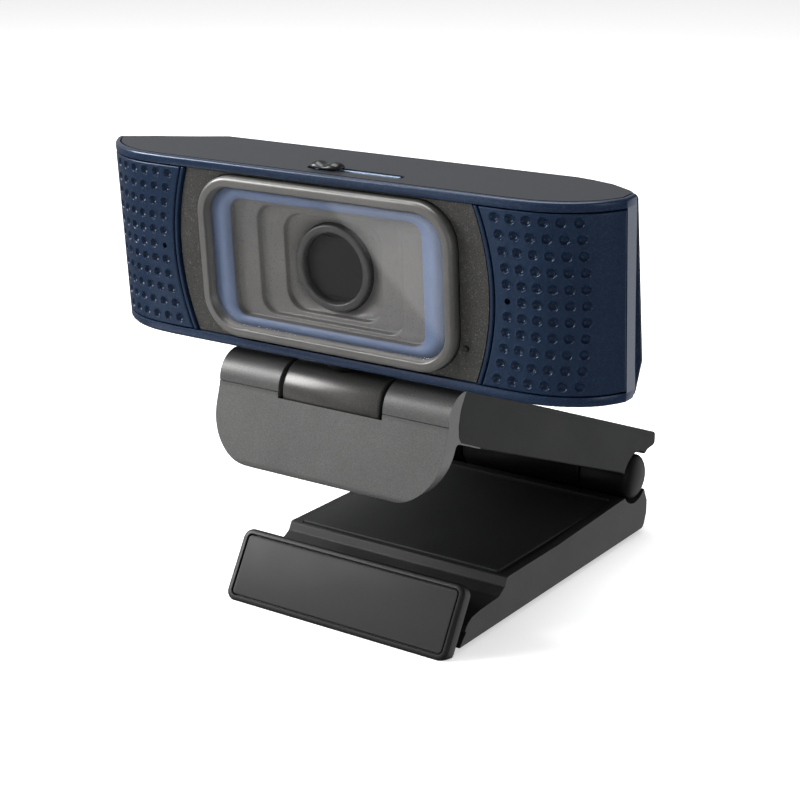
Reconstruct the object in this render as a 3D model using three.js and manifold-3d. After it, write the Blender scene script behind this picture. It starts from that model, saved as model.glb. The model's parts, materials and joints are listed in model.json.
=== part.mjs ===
// Wide webcam on a folding clip stand. Millimetres, +X to the viewer's right, -Y to the front, +Z up.
// Origin: middle of the bounding box, on the plane the stand rests on.
import * as THREE from 'three';
import Module from 'manifold-3d';
import { mergeVertices } from 'three/addons/utils/BufferGeometryUtils.js';

const wasm = await Module();
wasm.setup();

// ---- fits -----------------------------------------------------------------
const GAP = 0.3;                    // clearance between separate pieces that meet
const ORIGIN_Y = 38.51;             // middle of the object in the working frame
const CURVE_SEGMENTS = 5;

// ---- head, in its own frame: x right, y back from the front skin, z up -----
const HEAD_HALF_WIDTH = 53.4;
const HEAD_REACH = HEAD_HALF_WIDTH + 7;   // cutting blocks reach past the ends
const HEAD_TOP = 16.7;
const HEAD_BOTTOM = -17.1;
const HEAD_DEPTH = 17.8;
const HEAD_FLAT_HALF = 36;          // half width of the flat part of the front
const HEAD_CORNER_Y = 8.4;          // how far back the front corner sits
const HEAD_FACET_Y = 11.9;          // rear edge of the flat end facet
const HEAD_REAR_HALF = 39;          // half width of the straight back
const HEAD_CUT_X = -34;             // where the long cut of the rear left corner starts on the back
const HEAD_CUT_Y = 9;               // where it meets the left end
const BAND_TOP = 1.6;
const BAND_BOTTOM = 1.8;
const WALL = 1.4;
const PANEL_THICK = 1.1;
const FRONT_WALL = 1.2;
const SPLIT_Y = 11.6;               // where front and rear shells meet
const COVER_THICK = 0.6;
const COVER_MARGIN = 0.9;           // blue edge left round the top cover
const BEZEL_HALF_MID = 32.8;        // panel edge, half width at mid height
const BEZEL_HALF_END = 29.9;        // panel edge, half width at top and bottom
const STRIP_WIDTH = 0.8;
const BEZEL_RECESS = 0.5;           // bezel face behind the grille face

// ---- lens window ------------------------------------------------------------
const FRAME_W = 53.5;
const FRAME_H = 29.2;
const FRAME_R = 7.4;
const FRAME_PROUD = 1.5;
const FRAME_RIM = 2.1;
const GLASS_H = FRAME_H - 2 * FRAME_RIM;
const GLASS_W = FRAME_W - 2 * FRAME_RIM;
const GLASS_R = 5.3;
const GLASS_THICK = 0.8;
const GLASS_Y = -0.5;
// each terrace: how much narrower and lower than the glass, and its corner radius
const FUNNEL_STEPS = [[9, 3.5, 2.6], [18.9, 5.2, 3.2], [28.9, 7.4, 3.8]]
  .map(([narrower, lower, r]) => [GLASS_W - narrower, GLASS_H - lower, r]);
const FUNNEL_DEPTH = 0.75;          // drop from one terrace to the next
const LENS_Z = -0.2;
const LENS_RING_R = 7.7;
const LENS_RING_BORE = 6.1;
const BLADE_THICK = 0.5;
const BARREL_R = 6.4;
const BARREL_WALL = 1.1;
const BARREL_LENGTH = 5.6;
const LENS_R = 2.9;
const FOCUS_SPACE = 0.7;            // room in front of the carrier for focusing
const BOARD_HALF = 38;
const BOARD_RISE = 12.6;            // half height of the main board
const BOARD_THICK = 1.2;
const LIGHT_HOLE_R = 0.75;
const MIC_R = 2.2;
const MIC_HOLE_R = 0.6;
const NECK_TOP_ABOVE_FLOOR = 1.4;   // neck top above the inside floor of the head

// ---- privacy slider -----------------------------------------------------------
const SLOT_X0 = -5.4;
const SLOT_X1 = 13.8;
const SLOT_Y = 4.4;
const SLOT_WIDTH = 1.9;
const KNOB_LENGTH = 6.2;
const KNOB_WIDTH = 3.1;
const KNOB_RISE = 1.1;

// ---- folding stand --------------------------------------------------------------
const STAND_HALF = 24.8;
const TILT_Y = 6.5;                 // front hinge axis
const TILT_Z = 43;
const TILT_R = 5.1;
const HEAD_TILT = 3.9;              // degrees the head looks down as drawn
const HEAD_RISE = 24;               // hinge axis up to the middle of the lens
const HEAD_AHEAD = 4.25;            // front skin ahead of the hinge axis
const KNUCKLE_HALF = 10.4;
const KNUCKLE_SPACE = 0.9;
const NECK_R = 3;
const NECK_Y = 1.4;                 // neck axis behind the hinge axis
const NECK_FLANGE_R = 4.6;
const LIP_THICK = 3.2;
const LIP_LEAN = 17;
const LIP_BOTTOM_Z = 29;
const LIP_CORNER_R = 9;
const ARM_OVER_HINGE = 10.6;        // arm top above the rear hinge axis
const ARM_CROWN = 0.4;              // arm top above the front barrel
const ARM_THICK = 9.5;
const HINGE_Y = 71.5;
const HINGE_Z = 13.2;
const HINGE_R = 4.7;
const HINGE_PIN_R = 1.6;
const HINGE_NOTCH = 0.7;
const BASE_TOP = 9;
const BASE_BOTTOM = 1;
const BASE_FRONT_Y = 21.6;
const BASE_TOE_Y = 11.5;
const BASE_TOE_Z = 5.9;
const BASE_REAR_Y = 77;
const DECK_INSET = 2.4;
const DECK_THICK = 1.2;
const DECK_PROUD = 0.5;
const FOOT_THICK = 2.4;
const FOOT_LENGTH = 14;
const FOOT_LEAN = 30;
const FOOT_PIN_R = 1.1;
const FOOT_PIN_BACK = 4.8;            // pin axis behind the foot face
const FOOT_LUG_R = 1.9;
const GRIP_THICK = 0.8;

const metal = (color, roughness) => new THREE.MeshStandardMaterial({ color, roughness, metalness: 0.9 });
const plastic = (color, roughness) => new THREE.MeshStandardMaterial({ color, roughness, metalness: 0 });
const SKIN = {
  navy: metal(0x26364f, 0.35),
  slate: plastic(0x3d4147, 0.6),
  grille: metal(0x33475f, 0.4),
  bezel: plastic(0x4a4845, 0.5),
  gunmetal: metal(0x8c8a84, 0.3),
  glass: plastic(0x101316, 0.05),
  black: plastic(0x17181a, 0.45),
  grey: plastic(0x6c6d6d, 0.5),
  rubber: plastic(0x2a2b2b, 0.85),
  steel: metal(0xb4b6b8, 0.3),
  board: plastic(0x164a2c, 0.5),
  brass: metal(0xb08d4a, 0.35),
};

const group = new THREE.Group();
const names = new Set();

// ---- solids ------------------------------------------------------------------
function toSolid(geometry) {
  const bare = geometry.clone();
  bare.deleteAttribute('normal');
  bare.deleteAttribute('uv');
  const welded = mergeVertices(bare, 1e-4);
  const mesh = new wasm.Mesh({
    numProp: 3,
    vertProperties: new Float32Array(welded.attributes.position.array),
    triVerts: new Uint32Array(welded.index.array),
  });
  return new wasm.Manifold(mesh);
}

function toGeometry(solid) {
  const mesh = solid.getMesh();
  const geometry = new THREE.BufferGeometry();
  geometry.setAttribute('position', new THREE.BufferAttribute(new Float32Array(mesh.vertProperties), 3));
  geometry.setIndex(new THREE.BufferAttribute(new Uint32Array(mesh.triVerts), 1));
  geometry.computeVertexNormals();
  return geometry;
}

const minus = (solid, ...others) => others.reduce((left, other) => left.subtract(other), solid);
const plus = (solid, ...others) => others.reduce((left, other) => left.add(other), solid);

function box(x0, x1, y0, y1, z0, z1) {
  const geometry = new THREE.BoxGeometry(x1 - x0, y1 - y0, z1 - z0);
  geometry.translate((x0 + x1) / 2, (y0 + y1) / 2, (z0 + z1) / 2);
  return toSolid(geometry);
}

function outline(points) {
  const shape = new THREE.Shape();
  points.forEach(([u, v], i) => (i ? shape.lineTo(u, v) : shape.moveTo(u, v)));
  shape.closePath();
  return shape;
}

function prism(shape, depth) {
  const options = { depth, bevelEnabled: false, curveSegments: CURVE_SEGMENTS };
  return new THREE.ExtrudeGeometry(shape, options);
}

// plan outline (x, y) raised from z0 to z1
function raised(shape, z0, z1) {
  const geometry = prism(shape, z1 - z0);
  geometry.translate(0, 0, z0);
  return toSolid(geometry);
}

// side profile (y, z) swept across x0..x1
function swept(shape, x0, x1) {
  const geometry = prism(shape, x1 - x0);
  const basis = new THREE.Matrix4().makeBasis(
    new THREE.Vector3(0, 1, 0), new THREE.Vector3(0, 0, 1), new THREE.Vector3(1, 0, 0));
  geometry.applyMatrix4(basis);
  geometry.translate(x0, 0, 0);
  return toSolid(geometry);
}

// front outline (x, z) pushed back from y0 to y1
function pushed(shape, y0, y1) {
  const geometry = prism(shape, y1 - y0);
  geometry.rotateX(Math.PI / 2);
  geometry.translate(0, y1, 0);
  return toSolid(geometry);
}

function roundedRect(w, h, r, cx = 0, cz = 0) {
  const shape = new THREE.Shape();
  const x = w / 2 - r;
  const z = h / 2 - r;
  shape.absarc(cx + x, cz + z, r, 0, Math.PI / 2, false);
  shape.absarc(cx - x, cz + z, r, Math.PI / 2, Math.PI, false);
  shape.absarc(cx - x, cz - z, r, Math.PI, 1.5 * Math.PI, false);
  shape.absarc(cx + x, cz - z, r, 1.5 * Math.PI, 2 * Math.PI, false);
  shape.closePath();
  return shape;
}

function rod(axis, r, from, to, [a, b], sides = 24) {
  const geometry = new THREE.CylinderGeometry(r, r, to - from, sides);
  const mid = (from + to) / 2;
  if (axis === 'x') {
    geometry.rotateZ(Math.PI / 2);
    geometry.translate(mid, a, b);
  } else if (axis === 'y') {
    geometry.translate(a, mid, b);
  } else {
    geometry.rotateX(Math.PI / 2);
    geometry.translate(a, b, mid);
  }
  return toSolid(geometry);
}

function add(parent, name, solid, material) {
  if (names.has(name)) throw new Error(`two pieces are called ${name}`);
  names.add(name);
  const mesh = new THREE.Mesh(toGeometry(solid), material);
  mesh.name = name;
  parent.add(mesh);
  return mesh;
}

// ---- head outline in plan ------------------------------------------------------
function headPlan(inset) {
  const half = [
    [HEAD_FLAT_HALF, 0],
    [HEAD_FLAT_HALF + 5, 0.35],
    [HEAD_HALF_WIDTH - 8.8, 1.25],
    [HEAD_HALF_WIDTH - 5.7, HEAD_CORNER_Y * 0.32],
    [HEAD_HALF_WIDTH - 3, HEAD_CORNER_Y * 0.55],
    [HEAD_HALF_WIDTH - 1.2, HEAD_CORNER_Y * 0.81],
    [HEAD_HALF_WIDTH - 0.2, HEAD_CORNER_Y],
    [HEAD_HALF_WIDTH, HEAD_FACET_Y],
    [HEAD_HALF_WIDTH - 2.2, HEAD_FACET_Y + 2.1],
    [HEAD_HALF_WIDTH - 6.4, HEAD_DEPTH - 1.6],
    [HEAD_REAR_HALF + 3, HEAD_DEPTH - 0.4],
    [HEAD_REAR_HALF, HEAD_DEPTH],
  ];
  const loop = [...half, ...half.map(([x, y]) => [-x, y]).reverse()];
  return inset ? insetLoop(loop, inset) : loop;
}

// moves every edge of a convex counter-clockwise loop inwards
function insetLoop(loop, distance) {
  const count = loop.length;
  return loop.map((point, i) => {
    const before = edgeNormal(loop[(i + count - 1) % count], point);
    const after = edgeNormal(point, loop[(i + 1) % count]);
    const reach = distance / (1 + before[0] * after[0] + before[1] * after[1]);
    return [point[0] + (before[0] + after[0]) * reach, point[1] + (before[1] + after[1]) * reach];
  });
}

function edgeNormal([x0, y0], [x1, y1]) {
  const length = Math.hypot(x1 - x0, y1 - y0);
  return [-(y1 - y0) / length, (x1 - x0) / length];
}

const PANEL_TOP = HEAD_TOP - BAND_TOP;
const PANEL_BOTTOM = HEAD_BOTTOM + BAND_BOTTOM;
const PANEL_MID = (PANEL_TOP + PANEL_BOTTOM) / 2;
const POCKET = PANEL_THICK + GAP;
const WALL_BACK = POCKET + FRONT_WALL;

// everything beyond the long cut of the rear left corner, moved inwards by `inset`
function rearLeftCut(inset, z0, z1) {
  const [dx, dy] = [HEAD_CUT_X + HEAD_HALF_WIDTH, HEAD_DEPTH - HEAD_CUT_Y];
  const length = Math.hypot(dx, dy);
  const at = (along, out) => [
    HEAD_CUT_X - (dx * along + dy * (out - inset)) / length,
    HEAD_DEPTH - (dy * along - dx * (out - inset)) / length,
  ];
  const far = HEAD_DEPTH;
  return raised(outline([at(-far, 0), at(-far, far), at(length + far, far), at(length + far, 0)].reverse()),
    z0 - 1, z1 + 1);
}

const planSolid = (inset, z0, z1) => minus(raised(outline(headPlan(inset)), z0, z1), rearLeftCut(inset, z0, z1));

// half width of the bezel at height z: a shallow arc, widest at mid height
function bezelHalf(z) {
  const u = (z - PANEL_MID) / ((PANEL_TOP - PANEL_BOTTOM) / 2);
  return BEZEL_HALF_MID - (BEZEL_HALF_MID - BEZEL_HALF_END) * u * u;
}

// region between the two arcs, grown sideways by `grow` and shortened by `trim`
function arcRegion(grow, trim, steps = 10) {
  const points = [];
  const z0 = PANEL_BOTTOM + trim;
  const z1 = PANEL_TOP - trim;
  for (let i = 0; i <= steps; i += 1) {
    const z = z0 + ((z1 - z0) * i) / steps;
    points.push([bezelHalf(z) + grow, z]);
  }
  return outline([...points, ...points.map(([x, z]) => [-x, z]).reverse()]);
}

// skin of the head front between two depths behind the surface
function frontSkin(from, to, z0, z1) {
  const front = box(-HEAD_HALF_WIDTH, HEAD_HALF_WIDTH, -1, HEAD_CORNER_Y, z0 - 1, z1 + 1);
  return minus(planSolid(from, z0, z1), planSolid(to, z0 - 1, z1 + 1)).intersect(front);
}

// ---- head pieces -----------------------------------------------------------------
function slotCut(width, z0, z1) {
  const grow = (width - SLOT_WIDTH) / 2;
  const shape = roundedRect(SLOT_X1 - SLOT_X0 + 2 * grow, width, width / 2 - 0.01,
    (SLOT_X0 + SLOT_X1) / 2, SLOT_Y);
  return raised(shape, z0, z1);
}

function neckCut(r, z0, z1) {
  return rod('z', r, z0, z1, [0, HEAD_AHEAD + NECK_Y]);
}

function buildShells(head) {
  const inner = planSolid(WALL_BACK, PANEL_BOTTOM, PANEL_TOP);
  const pocket = frontSkin(-0.5, POCKET, PANEL_BOTTOM, PANEL_TOP);
  const coverPocket = planSolid(COVER_MARGIN, HEAD_TOP - COVER_THICK - GAP, HEAD_TOP + 1);
  const window = pushed(roundedRect(GLASS_W - 2, GLASS_H - 1, GLASS_R - 0.6), 0, WALL_BACK + 1);
  const lightHole = rod('y', LIGHT_HOLE_R, 0, 6, [LIGHT_X, LIGHT_Z], 12);
  const micHoles = [-1, 1].map((side) => rod('y', MIC_HOLE_R, 0, 6, [side * MIC_X, PANEL_MID], 12));
  const behind = box(-HEAD_REACH, HEAD_REACH, SPLIT_Y, 30, -30, 30);
  const shell = minus(planSolid(0, HEAD_BOTTOM, HEAD_TOP), inner, pocket, coverPocket, window,
    lightHole, ...micHoles, behind, slotCut(SLOT_WIDTH, 8, 20),
    neckCut(NECK_R + GAP, -20, -12));
  add(head, 'front_shell', shell, SKIN.navy);

  const ahead = box(-HEAD_REACH, HEAD_REACH, -5, SPLIT_Y + GAP, -30, 30);
  const rearInner = planSolid(WALL, PANEL_BOTTOM, PANEL_TOP);
  const inlet = rod('y', INLET_R + GAP, 10, 30, [INLET_X, INLET_Z], 20);
  const screwHoles = REAR_SCREWS.map(([x, z]) => rod('y', SCREW_R + GAP, 10, 30, [x, z], 14));
  const chamfers = [-1, 1].map((side) => endChamfer(side));
  const rear = minus(planSolid(0, HEAD_BOTTOM, HEAD_TOP), ahead, rearInner, coverPocket, inlet,
    ...screwHoles, ...chamfers);
  add(head, 'rear_shell', rear, SKIN.slate);

  const cover = minus(planSolid(COVER_MARGIN + GAP, HEAD_TOP - COVER_THICK, HEAD_TOP + 0.01),
    slotCut(SLOT_WIDTH + 0.6, 10, 20));
  add(head, 'top_cover', cover, SKIN.slate);
}

// sloping cut under the rear end corners of the head
function endChamfer(side) {
  const wedge = swept(outline([[9, HEAD_BOTTOM - 1], [30, HEAD_BOTTOM - 1], [30, HEAD_BOTTOM + 9]]), -9, 9);
  return wedge.translate([side * (HEAD_HALF_WIDTH + 3), 0, 0]);
}

const LIGHT_X = 27.9;
const LIGHT_Z = -9.6;
const MIC_X = 36.2;
const INLET_X = -22;
const INLET_Z = -4;
const INLET_R = 3.2;
const SCREW_R = 1.5;
const REAR_SCREWS = [[-30, -11], [30, -11], [-30, 11], [30, 11]];

function buildFrontPanels(head) {
  const skin = frontSkin(0, PANEL_THICK, PANEL_BOTTOM + GAP / 2, PANEL_TOP - GAP / 2);
  const middle = pushed(arcRegion(STRIP_WIDTH + GAP, -1), -3, 9);
  const strips = pushed(arcRegion(STRIP_WIDTH, 0), -3, 9);
  const bezel = pushed(arcRegion(-GAP, 0), -3, 9);
  const bezelEdge = pushed(arcRegion(0, -1), -3, 9);
  for (const [side, name] of [[-1, 'left'], [1, 'right']]) {
    const half = box(side < 0 ? -HEAD_REACH : 0, side < 0 ? 0 : HEAD_REACH, -3, 9, -20, 20);
    const mic = rod('y', 0.55, -3, 9, [side * MIC_X, PANEL_MID], 12);
    add(head, `grille_${name}`, minus(skin.intersect(half), middle, mic), SKIN.grille);
    add(head, `accent_strip_${name}`, minus(skin.intersect(strips), bezelEdge).intersect(half), SKIN.navy);
  }
  const opening = pushed(roundedRect(FRAME_W + 2 * GAP, FRAME_H + 2 * GAP, FRAME_R + GAP), -3, 9);
  const light = rod('y', LIGHT_HOLE_R, -3, 9, [LIGHT_X, LIGHT_Z], 12);
  const recess = box(-HEAD_HALF_WIDTH, HEAD_HALF_WIDTH, -3, BEZEL_RECESS, -20, 20);
  add(head, 'centre_bezel', minus(skin.intersect(bezel), opening, light, recess), SKIN.bezel);
}

function buildLensWindow(head) {
  const rim = pushed(roundedRect(FRAME_W, FRAME_H, FRAME_R), -FRAME_PROUD, PANEL_THICK);
  const seat = pushed(roundedRect(GLASS_W, GLASS_H, GLASS_R), -3, GLASS_Y + GLASS_THICK + GAP);
  const through = pushed(roundedRect(GLASS_W - 3, GLASS_H - 1.6, GLASS_R - 0.6), -3, 5);
  add(head, 'lens_frame', minus(rim, seat, through), SKIN.gunmetal);
  const glass = roundedRect(GLASS_W - 2 * GAP, GLASS_H - 2 * GAP, GLASS_R - GAP);
  add(head, 'cover_glass', pushed(glass, GLASS_Y, GLASS_Y + GLASS_THICK), SKIN.glass);
}

const FUNNEL_Y = GLASS_Y + GLASS_THICK + GAP;
const BLADE_Y = FUNNEL_Y + FUNNEL_DEPTH * FUNNEL_STEPS.length + GAP;

function buildFunnel(head) {
  const outer = roundedRect(GLASS_W - 3 - 2 * GAP, GLASS_H - 1.6 - 2 * GAP, GLASS_R - 1);
  const cuts = FUNNEL_STEPS.map(([w, h, r], i) => pushed(roundedRect(w, h, r),
    FUNNEL_Y - 1, FUNNEL_Y + FUNNEL_DEPTH * (i + 0.5)));
  const bore = rod('y', LENS_RING_R + GAP, 0, 9, [0, LENS_Z], 32);
  const body = pushed(outer, FUNNEL_Y, BLADE_Y - GAP);
  add(head, 'stepped_recess', minus(body, ...cuts, bore), SKIN.grey);
  const ringY = FUNNEL_Y + FUNNEL_DEPTH * 1.7;
  const ring = minus(rod('y', LENS_RING_R, ringY, BLADE_Y - GAP, [0, LENS_Z], 32),
    rod('y', LENS_RING_BORE, 0, 9, [0, LENS_Z], 32));
  add(head, 'lens_ring', ring, SKIN.black);
}

const BARREL_Y = BLADE_Y + BLADE_THICK + GAP;

function buildOptics(head) {
  const place = [0, LENS_Z];
  const back = BARREL_Y + BARREL_LENGTH;
  const barrel = minus(rod('y', BARREL_R, BARREL_Y, back, place, 32),
    rod('y', BARREL_R - BARREL_WALL, BARREL_Y + 0.8, back + 1, place, 32),
    rod('y', LENS_R + 0.9, BARREL_Y - 1, back, place, 24));
  add(head, 'lens_housing', barrel, SKIN.black);
  const carrierY = BARREL_Y + 0.8 + FOCUS_SPACE;
  const carrier = minus(rod('y', BARREL_R - BARREL_WALL - GAP, carrierY, carrierY + 3, place, 28),
    rod('y', LENS_R + GAP, carrierY - 1, carrierY + 4, place, 24));
  add(head, 'focus_carrier', carrier, SKIN.black);
  add(head, 'front_lens', rod('y', LENS_R, carrierY + 0.3, carrierY + 1.5, place, 24), SKIN.glass);
  add(head, 'rear_lens', rod('y', LENS_R, carrierY + 1.8, carrierY + 2.7, place, 24), SKIN.glass);
  const sensorY = back + GAP;
  add(head, 'image_sensor', box(-4, 4, sensorY, sensorY + 0.9, LENS_Z - 3.4, LENS_Z + 3.4), SKIN.black);
  const boardY = sensorY + 0.9 + GAP;
  add(head, 'main_board', minus(box(-BOARD_HALF, BOARD_HALF, boardY, boardY + BOARD_THICK, -BOARD_RISE, BOARD_RISE),
    ...REAR_SCREWS.map(([x, z]) => rod('y', SCREW_R + GAP, 0, 30, [x, z], 14))), SKIN.board);
  add(head, 'image_processor', box(10, 18, boardY + BOARD_THICK + GAP, boardY + 2.6, -4, 4), SKIN.black);
  const socketY = boardY + BOARD_THICK + GAP;
  add(head, 'cable_socket', box(INLET_X - 4, INLET_X + 4, socketY, socketY + 1.4, INLET_Z - 3, INLET_Z + 3),
    SKIN.steel);
  const micY = WALL_BACK + GAP;
  for (const [side, name] of [[-1, 'left'], [1, 'right']]) {
    add(head, `microphone_${name}`, rod('y', MIC_R, micY, micY + 1.6, [side * MIC_X, PANEL_MID], 18), SKIN.steel);
  }
  add(head, 'status_light_pipe', rod('y', 0.5, 0.1, micY + 0.4, [LIGHT_X, LIGHT_Z], 12), SKIN.glass);
  add(head, 'status_light', box(LIGHT_X - 1, LIGHT_X + 1, micY + 0.4 + GAP, micY + 1.7,
    LIGHT_Z - 1, LIGHT_Z + 1), SKIN.grey);
}

function buildRearTrim(head) {
  const gland = plus(rod('y', INLET_R, HEAD_DEPTH - 3, HEAD_DEPTH + 0.8, [INLET_X, INLET_Z], 20),
    rod('y', INLET_R + 1.1, HEAD_DEPTH + GAP, HEAD_DEPTH + 1.5, [INLET_X, INLET_Z], 20));
  const bore = rod('y', 1.7, 10, 30, [INLET_X, INLET_Z], 16);
  add(head, 'cable_inlet', minus(gland, bore), SKIN.rubber);
  REAR_SCREWS.forEach(([x, z], i) => {
    const recess = box(x - 0.9, x + 0.9, HEAD_DEPTH - 1, HEAD_DEPTH + 2, z - 0.25, z + 0.25);
    add(head, `rear_screw_${i + 1}`, minus(rod('y', SCREW_R, WALL_BACK + 6, HEAD_DEPTH - 0.4, [x, z], 14), recess),
      SKIN.steel);
  });
}

function buildShutter(head) {
  const closedX = SLOT_X0 + 0.7 + KNOB_LENGTH / 2;
  const blade = box(-7.4, 7.4, BLADE_Y, BLADE_Y + BLADE_THICK, -7.6, 11.4);
  const tab = box(closedX - 1.6, closedX + 1.6, BLADE_Y, SLOT_Y + 0.6, 9.6, 11.4);
  const stem = box(closedX - 1.6, closedX + 1.6, SLOT_Y - 0.6, SLOT_Y + 0.6, 9.6, HEAD_TOP + GAP);
  const knobShape = outline([
    [-KNOB_LENGTH / 2, 0], [KNOB_LENGTH / 2, 0], [KNOB_LENGTH / 2 - 0.3, KNOB_RISE * 0.7],
    [KNOB_LENGTH / 2 - 1.1, KNOB_RISE], [0.5, KNOB_RISE * 0.6], [-0.5, KNOB_RISE * 0.6],
    [1.1 - KNOB_LENGTH / 2, KNOB_RISE], [0.3 - KNOB_LENGTH / 2, KNOB_RISE * 0.7],
  ]);
  const knob = pushed(knobShape, SLOT_Y - KNOB_WIDTH / 2, SLOT_Y + KNOB_WIDTH / 2)
    .translate([closedX, 0, HEAD_TOP + GAP - 0.05]);
  add(head, 'privacy_shutter', plus(blade, tab, stem, knob), SKIN.black);
}

function buildHead() {
  const head = new THREE.Group();
  buildShells(head);
  buildFrontPanels(head);
  buildLensWindow(head);
  buildFunnel(head);
  buildOptics(head);
  buildRearTrim(head);
  buildShutter(head);
  return head;
}

// ---- front hinge: knuckle and neck, in working coordinates about the hinge axis ----
function buildKnuckle(parent) {
  const drum = rod('x', TILT_R, -KNUCKLE_HALF, KNUCKLE_HALF, [0, 0], 28);
  const bore = rod('x', HINGE_PIN_R + GAP, -KNUCKLE_HALF - 1, KNUCKLE_HALF + 1, [0, 0], 16);
  const neckTop = HEAD_RISE + PANEL_BOTTOM + NECK_TOP_ABOVE_FLOOR;
  const neck = rod('z', NECK_R, 3.4, neckTop, [0, NECK_Y], 24);
  add(parent, 'tilt_knuckle', minus(plus(drum, neck), bore), SKIN.slate);
}

function buildNeckFlange(head) {
  const z0 = PANEL_BOTTOM + GAP;
  const disc = rod('z', NECK_FLANGE_R, z0, z0 + 1, [0, HEAD_AHEAD + NECK_Y + 2.6], 24);
  add(head, 'swivel_washer', minus(disc, neckCut(NECK_R + GAP, -20, -8)), SKIN.steel);
}

// ---- upper jaw ------------------------------------------------------------------------
const armFall = TILT_Z + TILT_R + ARM_CROWN - HINGE_Z - ARM_OVER_HINGE;
const slope = armFall / (HINGE_Y - TILT_Y);
const lean = Math.tan(THREE.MathUtils.degToRad(LIP_LEAN));
const HINGE_CLEAR = HINGE_R + HINGE_NOTCH;

function arcPoints(cy, cz, r, from, to, steps) {
  const points = [];
  for (let i = 0; i <= steps; i += 1) {
    const a = THREE.MathUtils.degToRad(from + ((to - from) * i) / steps);
    points.push([cy + r * Math.cos(a), cz + r * Math.sin(a)]);
  }
  return points;
}

const armTop = (y) => TILT_Z + TILT_R + (TILT_Y - y) * slope + ARM_CROWN;
const armUnder = (y) => armTop(y) - ARM_THICK * Math.hypot(1, slope);

function armProfile() {
  const rearY = HINGE_Y + 8.2;
  const front = TILT_Y + TILT_R + GAP;
  return outline([
    [front, armUnder(front)],
    [HINGE_Y - 6.8, armUnder(HINGE_Y - 6.8)],
    ...arcPoints(HINGE_Y, HINGE_Z, HINGE_CLEAR, 157, 47, 7),
    [HINGE_Y + 5.4, HINGE_Z + 5],
    [rearY, armTop(rearY) - 2.6],
    [rearY, armTop(rearY)],
    [front, armTop(front)],
  ]);
}

function lipProfile() {
  const frontY = (z) => TILT_Y - TILT_R + 0.2 - (TILT_Z - z) * lean;
  const back = LIP_THICK / Math.cos(THREE.MathUtils.degToRad(LIP_LEAN));
  const crook = TILT_Z - 3.5;
  return outline([
    ...arcPoints(TILT_Y, TILT_Z, TILT_R, 60, 180, 7),
    [frontY(LIP_BOTTOM_Z), LIP_BOTTOM_Z],
    [frontY(LIP_BOTTOM_Z) + back, LIP_BOTTOM_Z - 0.6],
    [frontY(crook) + back, crook],
    [TILT_Y + TILT_R, armUnder(TILT_Y + TILT_R)],
    [TILT_Y + TILT_R, TILT_Z + 3],
  ]);
}

// rounds the lower corners of the lip as seen from the front
function lipCorners() {
  const reach = STAND_HALF + 2;
  const square = pushed(outline([[-reach, 0], [reach, 0], [reach, LIP_BOTTOM_Z + LIP_CORNER_R],
    [-reach, LIP_BOTTOM_Z + LIP_CORNER_R]]), -12, 6);
  const rounded = pushed(roundedRect(2 * STAND_HALF, 2 * LIP_CORNER_R + 12, LIP_CORNER_R, 0,
    LIP_BOTTOM_Z + LIP_CORNER_R + 5.4), -13, 7);
  return minus(square, rounded);
}

function buildUpperJaw(parent) {
  const knuckleRoom = KNUCKLE_HALF + KNUCKLE_SPACE;
  const around = swept(outline(arcPoints(TILT_Y, TILT_Z, TILT_R + KNUCKLE_SPACE, 0, 345, 23)),
    -knuckleRoom, knuckleRoom);
  const neckRoom = box(-knuckleRoom, knuckleRoom, -5, TILT_Y + TILT_R + KNUCKLE_SPACE, TILT_Z, 60);
  const pinBore = rod('x', HINGE_PIN_R + GAP, -STAND_HALF + 1.6, STAND_HALF - 1.6, [TILT_Y, TILT_Z], 16);
  const lip = minus(swept(lipProfile(), -STAND_HALF, STAND_HALF), around, neckRoom, lipCorners(), pinBore);
  add(parent, 'jaw_lip', lip, SKIN.grey);
  add(parent, 'tilt_pin', rod('x', HINGE_PIN_R, -STAND_HALF + 2, STAND_HALF - 2, [TILT_Y, TILT_Z], 16),
    SKIN.steel);

  const arm = swept(armProfile(), -STAND_HALF, STAND_HALF);
  const gripRoom = gripPlate(GRIP_MARGIN - GAP, GRIP_THICK + GAP, 1);
  add(parent, 'jaw_arm', minus(arm, gripRoom), SKIN.slate);
  add(parent, 'arm_grip', gripPlate(GRIP_MARGIN, GRIP_THICK, 0.2), SKIN.rubber);
}

const GRIP_MARGIN = 5;

// plate lying along the underside of the arm
function gripPlate(margin, above, below) {
  const y0 = TILT_Y + TILT_R + margin;
  const y1 = HINGE_Y - 12 - margin;
  const shape = outline([[y0, armUnder(y0) - below], [y1, armUnder(y1) - below],
    [y1, armUnder(y1) + above], [y0, armUnder(y0) + above]]);
  return swept(shape, -STAND_HALF + margin, STAND_HALF - margin);
}

// ---- rear hinge: drums alternate between the two jaws -----------------------------------
const DRUM_OUTER = STAND_HALF - 0.6;
const DRUM_EDGES = [-DRUM_OUTER, -14, 14, DRUM_OUTER];
const DRUM_DOME = 1.6;

// closed rounded end of an outer drum
function drumDome(side) {
  const profile = [[0, 0], [HINGE_R, 0], [HINGE_R * 0.92, DRUM_DOME * 0.45], [HINGE_R * 0.66, DRUM_DOME * 0.85],
    [0, DRUM_DOME]];
  const geometry = new THREE.LatheGeometry(profile.map(([r, h]) => new THREE.Vector2(r, h)), 28);
  geometry.rotateZ(-side * Math.PI / 2);
  geometry.translate(side * (DRUM_EDGES[3] - 0.02), HINGE_Y, HINGE_Z);
  return toSolid(geometry);
}

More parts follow.
